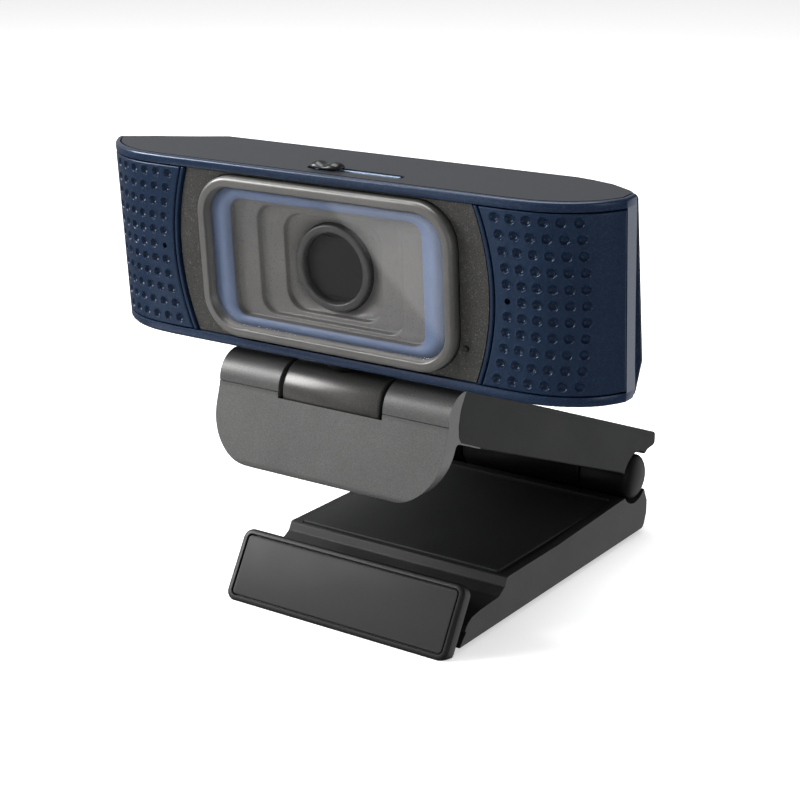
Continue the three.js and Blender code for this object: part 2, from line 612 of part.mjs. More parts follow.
function buildRearHinge(jaw, base) {
  const drum = (x0, x1) => minus(rod('x', HINGE_R, x0, x1, [HINGE_Y, HINGE_Z], 28),
    rod('x', HINGE_PIN_R + GAP, x0 - 1, x1 + 1, [HINGE_Y, HINGE_Z], 16));
  const [x0, x1, x2, x3] = DRUM_EDGES;
  add(base, 'hinge_drum_left', plus(drum(x0, x1 - GAP), drumDome(-1)), SKIN.black);
  add(jaw, 'hinge_drum_middle', drum(x1, x2), SKIN.black);
  add(base, 'hinge_drum_right', plus(drum(x2 + GAP, x3), drumDome(1)), SKIN.black);
  add(base, 'hinge_pin', rod('x', HINGE_PIN_R, x0 + 0.3, x3 - 0.3, [HINGE_Y, HINGE_Z], 16), SKIN.steel);
}

// ---- lower jaw ------------------------------------------------------------------------------
function baseProfile() {
  return outline([
    [FOOT_Y + 1.4, BASE_BOTTOM],
    [BASE_REAR_Y - 2, BASE_BOTTOM],
    [BASE_REAR_Y, BASE_BOTTOM + 2],
    [BASE_REAR_Y, BASE_BOTTOM + 5.6],
    ...arcPoints(HINGE_Y, HINGE_Z, HINGE_CLEAR, -42, -144, 7),
    [BASE_FRONT_Y, BASE_TOP],
    [BASE_FRONT_Y - 0.8, BASE_TOP - 1.6],
    [BASE_FRONT_Y - 3, BASE_TOE_Z + 0.2],
    [BASE_TOE_Y, BASE_TOE_Z],
    [BASE_TOE_Y - 2, BASE_TOE_Z - 0.4],
    [BASE_TOE_Y - 3.6, BASE_TOE_Z - 1.4],
    [BASE_TOE_Y - 4.3, BASE_TOE_Z - 2.7],
  ]);
}

const FOOT_Y = 4.2;
const FOOT_Z = 6.2;

function buildLowerJaw(parent) {
  const sin = Math.sin(THREE.MathUtils.degToRad(FOOT_LEAN));
  const cos = Math.cos(THREE.MathUtils.degToRad(FOOT_LEAN));
  const pinY = FOOT_Y + FOOT_PIN_BACK * cos;
  const pinZ = FOOT_Z - FOOT_PIN_BACK * sin;
  const deckFrom = BASE_FRONT_Y + 0.6;
  const deckTo = HINGE_Y - HINGE_CLEAR - 1.2;
  const deckRoom = box(-STAND_HALF + DECK_INSET - GAP, STAND_HALF - DECK_INSET + GAP,
    deckFrom - GAP, deckTo + GAP, BASE_TOP - DECK_THICK + DECK_PROUD - GAP, 20);
  const threadRoom = rod('z', THREAD_R + GAP, -5, BASE_BOTTOM + 6.2, [0, THREAD_Y], 24);
  const footRoom = rod('x', FOOT_ROOM_R, -FOOT_ROOM_HALF, FOOT_ROOM_HALF, [pinY, pinZ], 24)
    .add(box(-FOOT_ROOM_HALF, FOOT_ROOM_HALF, 0, pinY, -1, 8));
  const footRooms = FEET.map(([x, y]) => rod('z', FOOT_PAD_R + GAP, -1, BASE_BOTTOM + 0.8, [x, y], 18));
  const base = minus(swept(baseProfile(), -STAND_HALF, STAND_HALF), deckRoom, threadRoom, footRoom,
    ...footRooms);
  const hubs = [[-9, -4], [4, 9]].map(([a, b]) => minus(plus(
    rod('x', FOOT_LUG_R, a, b, [pinY, pinZ], 18),
    box(a, b, pinY, pinY + FOOT_ROOM_R + 0.5, pinZ - 1.6, pinZ + 1.2)),
  rod('x', FOOT_PIN_R + GAP, a - 1, b + 1, [pinY, pinZ], 14)));
  add(parent, 'base_body', plus(base, ...hubs), SKIN.grey);

  add(parent, 'base_deck', box(-STAND_HALF + DECK_INSET, STAND_HALF - DECK_INSET,
    deckFrom, deckTo, BASE_TOP - DECK_THICK + DECK_PROUD, BASE_TOP + DECK_PROUD), SKIN.black);
  const insert = minus(rod('z', THREAD_R, BASE_BOTTOM, BASE_BOTTOM + 5.9, [0, THREAD_Y], 24),
    rod('z', THREAD_BORE_R, -5, BASE_BOTTOM + 5, [0, THREAD_Y], 20));
  add(parent, 'tripod_insert', insert, SKIN.brass);
  FEET.forEach(([x, y], i) => add(parent, `rubber_foot_${i + 1}`,
    rod('z', FOOT_PAD_R, 0, BASE_BOTTOM + 0.5, [x, y], 18), SKIN.rubber));
  add(parent, 'foot_pin', rod('x', FOOT_PIN_R, GAP - FOOT_ROOM_HALF, FOOT_ROOM_HALF - GAP, [pinY, pinZ], 14),
    SKIN.steel);
  return [pinY, pinZ];
}

const THREAD_R = 5;
const THREAD_BORE_R = 3.1;
const THREAD_Y = 42;
const FOOT_ROOM_R = FOOT_LUG_R + GAP;
const FOOT_ROOM_HALF = STAND_HALF - 4;
const FOOT_PAD_R = 3.4;
const FEET_X = STAND_HALF - 6.8;
const FEET = [[-FEET_X, 28], [FEET_X, 28], [-FEET_X, 68], [FEET_X, 68]];

// ---- front foot plate: drawn upright about its pin, then leaned -----------------------------
function buildFoot(parent, pinY, pinZ) {
  const foot = new THREE.Group();
  const face = -FOOT_PIN_BACK;
  const plate = pushed(roundedRect(2 * STAND_HALF, FOOT_LENGTH, 1.4), face, face + FOOT_THICK);
  const well = pushed(roundedRect(2 * STAND_HALF - 2, FOOT_LENGTH - 2, 0.8), face - 1, face + 0.9);
  const outer = FOOT_ROOM_HALF - 0.8;
  const lugs = [[-outer, -11], [-2.4, 2.4], [11, outer]].map(([a, b]) => minus(plus(
    rod('x', FOOT_LUG_R, a, b, [0, 0], 18),
    box(a, b, face + FOOT_THICK - 0.2, 0, -1.8, 1.8)),
  rod('x', FOOT_PIN_R + GAP, a - 1, b + 1, [0, 0], 14)));
  const ground = box(-STAND_HALF - 1, STAND_HALF + 1, -20, 20, -12, 0)
    .translate([0, -pinY, -pinZ]).rotate([FOOT_LEAN, 0, 0]);
  add(foot, 'foot_plate', minus(plus(plate, ...lugs), well, ground), SKIN.slate);
  const insert = pushed(roundedRect(2 * STAND_HALF - 2 - 2 * GAP, FOOT_LENGTH - 2 - 2 * GAP, 0.6),
    face + 0.05, face + 0.6);
  add(foot, 'foot_insert', minus(insert, ground), SKIN.grey);
  foot.rotation.x = -THREE.MathUtils.degToRad(FOOT_LEAN);
  foot.position.set(0, pinY, pinZ);
  parent.add(foot);
}

// ---- assembly ---------------------------------------------------------------------------------
const stand = new THREE.Group();
stand.position.y = -ORIGIN_Y;
group.add(stand);

const head = buildHead();
buildNeckFlange(head);
head.position.set(0, -HEAD_AHEAD, HEAD_RISE);
const tilted = new THREE.Group();
tilted.position.set(0, TILT_Y, TILT_Z);
tilted.rotation.x = THREE.MathUtils.degToRad(HEAD_TILT);
tilted.add(head);
buildKnuckle(tilted);
stand.add(tilted);

buildUpperJaw(stand);
buildRearHinge(stand, stand);
const [footPinY, footPinZ] = buildLowerJaw(stand);
buildFoot(stand, footPinY, footPinZ);

group.updateMatrixWorld(true);
export default group;
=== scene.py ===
"""Looks of the webcam and its folding clip stand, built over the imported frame.

Lengths are in millimetres. The head is drawn in its own axes: x across, y back from its front skin, z up from
its middle. The stand is drawn with y back from the front skin of the upright head, and z up from the floor.
"""

import json
import math

import bmesh
import bpy
import numpy as np
from mathutils import Matrix, Vector


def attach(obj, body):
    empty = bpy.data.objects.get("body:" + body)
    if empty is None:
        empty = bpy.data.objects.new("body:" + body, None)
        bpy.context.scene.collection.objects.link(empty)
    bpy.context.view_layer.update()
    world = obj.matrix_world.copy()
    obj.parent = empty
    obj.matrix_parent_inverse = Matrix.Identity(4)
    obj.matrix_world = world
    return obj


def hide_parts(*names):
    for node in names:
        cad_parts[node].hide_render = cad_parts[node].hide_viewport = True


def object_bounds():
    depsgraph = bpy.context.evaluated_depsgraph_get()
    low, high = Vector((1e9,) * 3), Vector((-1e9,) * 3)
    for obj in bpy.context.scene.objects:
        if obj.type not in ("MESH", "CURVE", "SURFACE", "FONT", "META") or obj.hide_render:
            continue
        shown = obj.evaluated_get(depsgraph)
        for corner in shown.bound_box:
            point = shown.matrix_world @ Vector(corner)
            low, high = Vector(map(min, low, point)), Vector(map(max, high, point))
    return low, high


MM = 0.001
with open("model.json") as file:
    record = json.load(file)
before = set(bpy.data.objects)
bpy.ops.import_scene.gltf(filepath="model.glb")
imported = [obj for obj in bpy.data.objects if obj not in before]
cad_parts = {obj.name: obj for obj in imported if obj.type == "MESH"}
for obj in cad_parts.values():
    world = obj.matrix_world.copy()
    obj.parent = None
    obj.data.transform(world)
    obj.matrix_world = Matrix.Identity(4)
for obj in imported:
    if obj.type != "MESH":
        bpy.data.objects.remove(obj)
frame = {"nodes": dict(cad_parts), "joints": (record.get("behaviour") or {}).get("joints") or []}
CAD_LOW, CAD_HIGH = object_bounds()
NODES = frame["nodes"]
JOINT = {j["name"]: j for j in frame["joints"]}

# ---- places taken from the frame ---------------------------------------------------------
TILT_AT = Vector(JOINT["head_tilt"]["pos_m"])
FOOT_AT = Vector(JOINT["foot_tilt"]["pos_m"])
SWIVEL = JOINT["head_swivel"]["axis"]
LEAN = math.atan2(-SWIVEL[1], SWIVEL[2])
FOOT_LEAN = math.radians(-30)
HEAD_FROM_TILT = Vector((0, -4.25, 24))
SKIN_TO_TILT = 6.5
TILTED = Matrix.Translation(TILT_AT) @ Matrix.Rotation(LEAN, 4, "X")
HEAD = TILTED @ Matrix.Translation(HEAD_FROM_TILT * MM)
FOOT = Matrix.Translation(FOOT_AT) @ Matrix.Rotation(FOOT_LEAN, 4, "X")
STAND = Matrix.Translation(Vector((0, TILT_AT.y - SKIN_TO_TILT * MM, 0)))

# ---- head sizes --------------------------------------------------------------------------
TOP, BOTTOM = 16.7, -17.1
PANEL_TOP, PANEL_BOTTOM = 15.1, -15.3
PANEL_MID = (PANEL_TOP + PANEL_BOTTOM) / 2
PANEL_IN = 1.4                          # depth of the step that the dimpled panels sit in
SPLIT = 11.6                            # where the rear shell begins
DEPTH = 17.8
CORNER = (53.2, 8.4)                    # end of the dimpled panels
FLARE_Z = -11.3                         # the right end is deepest at this height
FRAME_W, FRAME_H, FRAME_R, FRAME_RIM = 53.5, 29.2, 7.4, 2.1
GLASS_W, GLASS_H, GLASS_R, GLASS_Y = FRAME_W - 2 * FRAME_RIM, FRAME_H - 2 * FRAME_RIM, 5.3, -0.5
STEPS = [(40.3, 21.5, 2.6), (30.4, 19.8, 3.2), (20.4, 17.6, 3.8)]   # width, height, corner of each terrace
FLOOR_Y = (0.3, 1.25, 2.2, 3.15)        # depth of each terrace behind the skin
LENS_Z = -0.2
MIC_X = 36.2
LIGHT = (27.9, -9.6)
SLOT_AT, SLOT_LEFT = (4.2, 4.4), -5.4   # middle of the shutter's slot, and its left end
KNOB_HALF = 3.1
DIMPLE_R, DIMPLE_DEPTH = 0.80, 0.62
DIMPLE_ROWS, DIMPLE_COLUMNS = 11, 6
DIMPLE_TOP, DIMPLE_DOWN, DIMPLE_ACROSS = 13.5, 2.7, 2.65

# ---- stand sizes -------------------------------------------------------------------------
STAND_HALF = 24.8
TILT_Y, TILT_Z, TILT_R = SKIN_TO_TILT, 43.0, 5.1
KNUCKLE_HALF = 10.4
HINGE_Y, HINGE_Z, HINGE_R, HINGE_CLEAR = 71.5, 13.2, 4.7, 5.4
ARM_ANGLE, LIP_ANGLE = math.radians(20.8), math.radians(17)
ARM_THICK, LIP_THICK = 9.5, 3.2
LIP_BOTTOM = 29.0
FOOT_LENGTH, FOOT_FACE, FOOT_THICK = 14.0, -4.8, 2.4


# ---- node helpers ------------------------------------------------------------------------
def new_material(name):
    """Material with one shader, which the caller fills in."""
    m = bpy.data.materials.new(name)
    m.use_nodes = True
    nt = m.node_tree
    nt.nodes.clear()
    out = nt.nodes.new("ShaderNodeOutputMaterial")
    sh = nt.nodes.new("ShaderNodeBsdfPrincipled")
    nt.links.new(sh.outputs["BSDF"], out.inputs["Surface"])
    return m, nt, sh


def node(nt, kind, **values):
    """New node. Each value is an input's name or a setting's name."""
    n = nt.nodes.new(kind)
    for key, value in values.items():
        if key in n.inputs:
            n.inputs[key].default_value = value
        else:
            setattr(n, key, value)
    return n


def ramp(nt, source, stops):
    """Colour ramp with stops (position, colour)."""
    r = nt.nodes.new("ShaderNodeValToRGB")
    elements = r.color_ramp.elements
    while len(elements) < len(stops):
        elements.new(0.5)
    for e, (at, colour) in zip(elements, stops):
        e.position = at
        e.color = (*colour, 1) if len(colour) == 3 else colour
    nt.links.new(source, r.inputs["Fac"])
    return r.outputs["Color"]


def noise(nt, scale, detail=2.0, rough=0.5, stretch=None):
    """Noise fixed to the object; its scale counts in cells per metre."""
    where = nt.nodes.new("ShaderNodeTexCoord").outputs["Object"]
    if stretch:
        m = node(nt, "ShaderNodeMapping", Scale=stretch)
        nt.links.new(where, m.inputs["Vector"])
        where = m.outputs["Vector"]
    n = node(nt, "ShaderNodeTexNoise", Scale=scale, Detail=detail, Roughness=rough)
    nt.links.new(where, n.inputs["Vector"])
    return n.outputs["Fac"]


def feed(nt, socket, value):
    """Links the value if it is a socket, else sets it."""
    if isinstance(value, bpy.types.NodeSocket):
        nt.links.new(value, socket)
    else:
        socket.default_value = (*value, 1) if socket.type == "RGBA" else value


def mixed(nt, fac, a, b, mode="MIX"):
    """Mixes two colours. The factor and the colours are sockets or plain values."""
    m = node(nt, "ShaderNodeMix", data_type="RGBA", blend_type=mode)
    colours = [s for s in m.inputs if s.type == "RGBA"]
    for socket, value in zip([m.inputs["Factor"], *colours], (fac, a, b)):
        feed(nt, socket, value)
    return next(s for s in m.outputs if s.type == "RGBA")


def scaled(nt, fac, low, high, span=(0.0, 1.0)):
    """Maps the span of a value to the range low to high."""
    ends = {"From Min": span[0], "From Max": span[1], "To Min": low, "To Max": high}
    m = node(nt, "ShaderNodeMapRange", **ends)
    nt.links.new(fac, m.inputs["Value"])
    return m.outputs["Result"]


def maths(nt, operation, a, b):
    m = node(nt, "ShaderNodeMath", operation=operation)
    for socket, value in zip(m.inputs, (a, b)):
        feed(nt, socket, value)
    return m.outputs["Value"]


def bumps(nt, sh, height, strength, distance):
    b = node(nt, "ShaderNodeBump", Strength=strength, Distance=distance)
    nt.links.new(height, b.inputs["Height"])
    nt.links.new(b.outputs["Normal"], sh.inputs["Normal"])


MOTTLE, WEAR = 140.0, 0.1       # size of the large mottling, and how far the roughness strays


def moulded(name, base, rough, grain=2600.0, depth=0.00006, strength=0.35, metallic=0.0,
            spread=0.18, specks=0.0, speck_colour=(0.5, 0.5, 0.5), coat=0.0, specular=0.5):
    """Moulded or painted skin: fine grain, uneven sheen, faint large mottling, optional bright flecks."""
    m, nt, sh = new_material(name)
    sh.inputs["Metallic"].default_value = metallic
    sh.inputs["Specular IOR Level"].default_value = specular
    if coat:
        sh.inputs["Coat Weight"].default_value = coat
        sh.inputs["Coat Roughness"].default_value = 0.25
    fine, large = noise(nt, grain, 3.0, 0.6), noise(nt, MOTTLE)
    low = tuple(c * (1 - spread) for c in base)
    high = tuple(min(1.0, c * (1 + spread)) for c in base)
    colour = ramp(nt, fine, [(0.35, low), (0.65, high)])
    soft = ramp(nt, large, [(0.3, (0.9,) * 3), (0.7, (1.0,) * 3)])
    colour = mixed(nt, 1.0, colour, soft, "MULTIPLY")
    if specks:
        cells = node(nt, "ShaderNodeTexVoronoi", Scale=grain * 0.9)
        nt.links.new(nt.nodes.new("ShaderNodeTexCoord").outputs["Object"], cells.inputs["Vector"])
        split = nt.nodes.new("ShaderNodeSeparateColor")
        nt.links.new(cells.outputs["Color"], split.inputs["Color"])
        fleck = ramp(nt, split.outputs["Red"], [(1 - specks - 0.02, (0, 0, 0)), (1 - specks, (1, 1, 1))])
        colour = mixed(nt, fleck, colour, speck_colour)
    nt.links.new(colour, sh.inputs["Base Color"])
    uneven = scaled(nt, large, rough * (1 - WEAR), min(1.0, rough * (1 + WEAR)))
    nt.links.new(uneven, sh.inputs["Roughness"])
    bumps(nt, sh, fine, strength, depth)
    return m


def brushed(name, base, rough):
    """Turned metal with fine lines across x."""
    m, nt, sh = new_material(name)
    sh.inputs["Metallic"].default_value = 1.0
    lines = noise(nt, 300.0, 3.0, 0.6, (1, 30, 30))
    low = tuple(c * 0.85 for c in base)
    nt.links.new(ramp(nt, lines, [(0.3, low), (0.7, base)]), sh.inputs["Base Color"])
    nt.links.new(scaled(nt, lines, rough * 0.8, rough * 1.25), sh.inputs["Roughness"])
    bumps(nt, sh, lines, 0.3, 0.00002)
    return m


def window_glass(name):
    """Clear pane: light passes straight through, with a faintly smeared sheen over it."""
    m, nt, sh = new_material(name)
    smear = noise(nt, 60.0)
    nt.links.new(scaled(nt, smear, 0.02, 0.05), sh.inputs["Roughness"])
    sh.inputs["Metallic"].default_value = 1.0
    nt.links.new(ramp(nt, smear, [(0.3, (0.93, 0.94, 0.95)), (0.7, (1, 1, 1))]), sh.inputs["Base Color"])
    clear = nt.nodes.new("ShaderNodeBsdfTransparent")
    nt.links.new(ramp(nt, smear, [(0.3, (0.97, 0.97, 0.98)), (0.7, (1, 1, 1))]), clear.inputs["Color"])
    facing = node(nt, "ShaderNodeLayerWeight", Blend=0.5).outputs["Facing"]
    both = nt.nodes.new("ShaderNodeMixShader")
    sheen = scaled(nt, maths(nt, "POWER", facing, 5.0), 0.045, 0.9)
    for source, socket in zip((sheen, clear.outputs["BSDF"], sh.outputs["BSDF"]), both.inputs):
        nt.links.new(source, socket)
    out = next(n for n in nt.nodes if n.type == "OUTPUT_MATERIAL")
    nt.links.new(both.outputs["Shader"], out.inputs["Surface"])
    return m


LOOK = {
    "navy": moulded("navy_paint", (0.0085, 0.0240, 0.062), 0.30, 6500, 0.00001, 0.3, 0.35, 0.35, 0.06,
                    (0.020, 0.045, 0.095), coat=0.5, specular=0.35),
    "grille": moulded("navy_panel_paint", (0.0085, 0.0230, 0.056), 0.33, 6500, 0.00001, 0.3, 0.3, 0.35, 0.06,
                      (0.015, 0.033, 0.07), coat=0.05, specular=0.35),
    "top": moulded("slate_top_paint", (0.017, 0.021, 0.029), 0.40, 5200, 0.00002, 0.3, 0.1, 0.15, coat=0.1),
    "rear": moulded("slate_shell_plastic", (0.026, 0.030, 0.038), 0.5, 3000, 0.00004, 0.4),
    "bezel": moulded("sparkle_bezel_plastic", (0.034, 0.033, 0.030), 0.5, 6800, 0.00006, 0.7, 0.0, 0.6, 0.03,
                     (0.09, 0.086, 0.08), specular=0.35),
    "frame": moulded("satin_frame_metal", (0.165, 0.162, 0.156), 0.38, 5200, 0.00001, 0.25, 0.6, 0.1),
    "border": moulded("printed_border", (0.115, 0.160, 0.265), 0.5, 900, 0.00001, 0.1, 0.0, 0.03),
    "recess": moulded("recess_plastic", (0.16, 0.155, 0.148), 0.42, 5200, 0.00001, 0.2, 0.2, 0.14, 0.02,
                      (0.10, 0.10, 0.10)),
    "blade": moulded("shutter_plastic", (0.010, 0.010, 0.0105), 0.5, 4200, 0.00001, 0.2, specular=0.3),
    "knob": moulded("gloss_knob_plastic", (0.006, 0.007, 0.009), 0.3, 1500, 0.00001, 0.1),
    "strip": moulded("slot_strip_paint", (0.36, 0.46, 0.62), 0.3, 5000, 0.00001, 0.2, 0.3, 0.1),
    "lip": moulded("clip_satin_paint", (0.078, 0.077, 0.076), 0.36, 4600, 0.00002, 0.4, 0.2, 0.22),
    "barrel": moulded("barrel_satin_paint", (0.060, 0.058, 0.056), 0.30, 4600, 0.00002, 0.3, 0.4, 0.22),
    "arm": moulded("arm_plastic", (0.013, 0.0143, 0.0143), 0.6, 4200, 0.00003, 0.4, specular=0.2),
    "base": moulded("base_plastic", (0.016, 0.0163, 0.0163), 0.48, 3600, 0.00005, 0.5, 0.0, 0.2, specular=0.25),
    "deck": moulded("deck_plastic", (0.021, 0.022, 0.022), 0.55, 3200, 0.00001, 0.15, specular=0.3),
    "rim": moulded("foot_rim_plastic", (0.009, 0.009, 0.0095), 0.42, 4200, 0.00002, 0.4, specular=0.3),
    "pad": moulded("foot_pad_rubber", (0.020, 0.020, 0.020), 0.58, 4200, 0.00002, 0.3, 0.0, 0.1, specular=0.35),
    "rubber": moulded("soft_rubber", (0.018, 0.018, 0.018), 0.85, 1900, 0.0001, 0.6),
    "hinge": moulded("hinge_plastic", (0.004, 0.004, 0.0042), 0.42, 3800, 0.00002, 0.3, specular=0.15),
    "dark": moulded("dark_inner_plastic", (0.006, 0.006, 0.007), 0.6, 2500, 0.00003, 0.3),
    "board": moulded("solder_mask", (0.010, 0.085, 0.030), 0.4, 900, 0.00003, 0.3, coat=0.3),
    "steel": brushed("turned_steel", (0.55, 0.55, 0.56), 0.3),
    "brass": brushed("turned_brass", (0.62, 0.45, 0.20), 0.3),
    "glass": window_glass("clear_window"),
    "ring": moulded("lens_ring_plastic", (0.045, 0.044, 0.042), 0.42, 4600, 0.00001, 0.2),
    "lens": moulded("coated_lens", (0.010, 0.012, 0.025), 0.05, 500, 0.00001, 0.05, coat=1.0),
    "lamp": moulded("light_pipe_resin", (0.006, 0.006, 0.007), 0.25, 1500, 0.00001, 0.2),
}


# ---- mesh helpers ------------------------------------------------------------------------
def link(name, me):
    ob = bpy.data.objects.new(name, me)
    bpy.context.scene.collection.objects.link(ob)
    return ob


def mesh_from(name, verts, faces, place):
    """Mesh object from points in millimetres, moved to its place, welded, with its faces turned outwards."""
    me = bpy.data.meshes.new(name)
    co = np.array(verts, float) * MM
    m = np.array(place, float)
    co = co @ m[:3, :3].T + m[:3, 3]
    me.from_pydata(co.tolist(), [], [tuple(int(i) for i in f) for f in faces])
    bm = bmesh.new()
    bm.from_mesh(me)
    bmesh.ops.remove_doubles(bm, verts=bm.verts, dist=1e-7)
    bmesh.ops.recalc_face_normals(bm, faces=bm.faces)
    bm.to_mesh(me)
    bm.free()
    return link(name, me)


def apply_modifiers(ob):
    dg = bpy.context.evaluated_depsgraph_get()
    me = bpy.data.meshes.new_from_object(ob.evaluated_get(dg))
    ob.modifiers.clear()
    ob.data = me
    return ob


def combine(ob, operation, tools):
    for tool in tools:
        mod = ob.modifiers.new(operation, "BOOLEAN")
        mod.operation = operation
        mod.solver = "EXACT"
        mod.object = tool
    apply_modifiers(ob)
    for tool in tools:
        bpy.data.objects.remove(tool)
    return ob


def cut(ob, *tools):
    return combine(ob, "DIFFERENCE", tools)


def join(ob, *tools):
    return combine(ob, "UNION", tools)


def paint(ob, look):
    ob.data.materials.clear()
    ob.data.materials.append(LOOK[look])


def round_edges(ob, width, segments, angle):
    """Rounds the edges sharper than the angle."""
    mod = ob.modifiers.new("soft_edges", "BEVEL")
    mod.width = width * MM
    mod.segments = segments
    mod.limit_method = "ANGLE"
    mod.angle_limit = math.radians(angle)


def dress(ob, look, body, replaces=(), bevel=0.0, angle=32.0):
    """Rounds the sharp edges, smooths the shading, paints the piece and hangs it on its body."""
    paint(ob, look)
    if bevel:
        bm = bmesh.new()
        bm.from_mesh(ob.data)
        bmesh.ops.remove_doubles(bm, verts=bm.verts, dist=2e-6)
        bmesh.ops.dissolve_limit(bm, angle_limit=math.radians(0.6), verts=bm.verts, edges=bm.edges)
        bm.to_mesh(ob.data)
        bm.free()
        round_edges(ob, bevel, 3, angle)
    ob.data.shade_smooth()
    if bevel:
        flat = ob.modifiers.new("even_shading", "WEIGHTED_NORMAL")
        flat.keep_sharp = True
        flat.weight = 80
    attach(ob, body)
    if replaces:
        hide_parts(*replaces)
    return ob


def arc(cx, cy, r, a0, a1, steps=16):
    return [(cx + r * math.cos(math.radians(a0 + (a1 - a0) * i / steps)),
             cy + r * math.sin(math.radians(a0 + (a1 - a0) * i / steps))) for i in range(steps + 1)]


def rounded_rect(w, h, r, cx=0.0, cz=0.0, steps=14):
    x, z = w / 2 - r, h / 2 - r
    points = []
    for sx, sz, a in ((1, 1, 0), (-1, 1, 90), (-1, -1, 180), (1, -1, 270)):
        points += arc(cx + sx * x, cz + sz * z, max(r, 0.001), a, a + 90, steps)
    return points


def filleted(corners, steps=6):
    """Polygon (u, v, radius) with each corner rounded by its radius."""
    points = []
    count = len(corners)
    for i, (u, v, r) in enumerate(corners):
        p = Vector((u, v))
        before = (Vector(corners[i - 1][:2]) - p)
        after = (Vector(corners[(i + 1) % count][:2]) - p)
        if r <= 0:
            points.append((u, v))
            continue
        half = before.angle(after) / 2
        reach = min(r / math.tan(half), before.length * 0.49, after.length * 0.49)
        start, end = p + before.normalized() * reach, p + after.normalized() * reach
        for k in range(steps + 1):
            t = k / steps
            q = start.lerp(p, t).lerp(p.lerp(end, t), t)
            points.append((q.x, q.y))
    return points


def spot(axis, u, v, h):
    """Point at height h along the axis, with u and v across it."""
    return {"x": (h, u, v), "y": (u, h, v), "z": (u, v, h)}[axis]


def prism(name, points, lo, hi, axis, place):
    """Outline carried straight along the axis from lo to hi."""
    n = len(points)
    verts = [spot(axis, *p, lo) for p in points] + [spot(axis, *p, hi) for p in points]
    faces = [tuple(range(n)), tuple(range(2 * n - 1, n - 1, -1))]
    faces += [(i, (i + 1) % n, n + (i + 1) % n, n + i) for i in range(n)]
    return mesh_from(name, verts, faces, place)


def lofted(name, rings, place, closed=True, caps=False):
    """Skins equal-length rings of points one after another; closed joins the last ring to the first."""
    count = len(rings[0])
    verts = [p for ring in rings for p in ring]
    faces = []
    total = len(rings) if closed else len(rings) - 1
    for k in range(total):
        a, b = k * count, ((k + 1) % len(rings)) * count
        faces += [(a + j, a + (j + 1) % count, b + (j + 1) % count, b + j) for j in range(count)]
    if caps:
        faces += [tuple(range(count)), tuple(range((len(rings) - 1) * count, len(rings) * count))]
    return mesh_from(name, verts, faces, place)


def turned(name, profile, axis, centre, place, steps=64):
    """Profile (radius, height along the axis) turned about the axis through centre."""
    rings = []
    for k in range(steps):
        c, s = math.cos(2 * math.pi * k / steps), math.sin(2 * math.pi * k / steps)
        rings.append([spot(axis, centre[0] + r * c, centre[1] + r * s, h) for r, h in profile])
    return lofted(name, rings, place)


def drill(r, lo, hi, axis, centre, place, steps):
    """Round tool that cuts a hole of radius r from lo to hi."""
    profile = [(0.001, lo), (r, lo), (r, hi), (0.001, hi)]
    return turned("drill", profile, axis, centre, place, steps)


def outset_loops(profile, w, h, r, steps):
    """A rounded rectangle for each (outset, y) of the profile, grown by the outset and set at y."""
    return [[(x, y, z) for x, z in rounded_rect(w + 2 * o, h + 2 * o, r + o, steps=steps)] for o, y in profile]


# ---- head outline in plan ----------------------------------------------------------------
def smooth_through(points):
    """Catmull-Rom curve through the points, six steps for each stretch."""
    steps = 6
    pts = [Vector(p) for p in points]
    pts = [pts[0] * 2 - pts[1]] + pts + [pts[-1] * 2 - pts[-2]]
    out = []
    for i in range(1, len(pts) - 2):
        p0, p1, p2, p3 = pts[i - 1:i + 3]
        for k in range(steps):
            t = k / steps
            q = 0.5 * ((2 * p1) + (p2 - p0) * t + (2 * p0 - 5 * p1 + 4 * p2 - p3) * t * t
                       + (3 * p1 - p0 - 3 * p2 + p3) * t ** 3)
            out.append((q.x, q.y))
    out.append(tuple(pts[-2]))
    return out


FRONT_HALF = [(31, 0), (36, 0)] + smooth_through(
    [(36, 0), (41, 0.35), (44.6, 1.25), (47.7, 2.69), (50.4, 4.62), (52.2, 6.8), CORNER])[1:]
REAR_HALF = filleted([(53.4, 11.9, 0), (51.2, 14.0, 2.0), (47, 16.2, 3.0), (42, 17.4, 2.5), (39, DEPTH, 0)], 5)
# the rear left corner is cut off at a long slant
REAR_SLANT = filleted([(-30, DEPTH, 0), (-34, DEPTH, 3.0), (-40, 15.04, 0)], 5)
REAR_SLANT += [(-47.67, SPLIT), (-53.2, 9.1)]
LOOP = (FRONT_HALF + [(53.33, SPLIT)] + REAR_HALF + [(0.0, DEPTH)] + REAR_SLANT
        + [(-x, y) for x, y in reversed(FRONT_HALF)])


def inward(loop, i):
    """Mitred inward step at a point of the closed loop."""
    def normal(a, b):
        length = math.hypot(b[0] - a[0], b[1] - a[1])
        return (-(b[1] - a[1]) / length, (b[0] - a[0]) / length)
    before = normal(loop[i - 1], loop[i])
    after = normal(loop[i], loop[(i + 1) % len(loop)])
    share = 1 + before[0] * after[0] + before[1] * after[1]
    return ((before[0] + after[0]) / share, (before[1] + after[1]) / share)


STEP_IN = [inward(LOOP, i) for i in range(len(LOOP))]


def plan(inset):
    return [(x + n[0] * inset, y + n[1] * inset) for (x, y), n in zip(LOOP, STEP_IN)]


def end_flare(x, y, z):
    """The right end grows deeper towards its foot, then is cut back under."""
    if x < 44.0 or y < CORNER[1] + 0.5:
        return 0.0
    share = min(1.0, (x - 44.0) / 9.0)
    return share * float(np.interp(z, [BOTTOM, -16.4, FLARE_Z, TOP], [-1.3, -1.0, 1.5, -0.4]))


def section(i, profile, rear=-100.0):
    """The profile (inset, z) set at point i of the outline, or at the depth rear if that lies further back."""
    (x, y), n = LOOP[i], STEP_IN[i]
    y = max(y, rear)
    return [(x + n[0] * d, y + n[1] * d + end_flare(x, y, z), z) for d, z in profile]


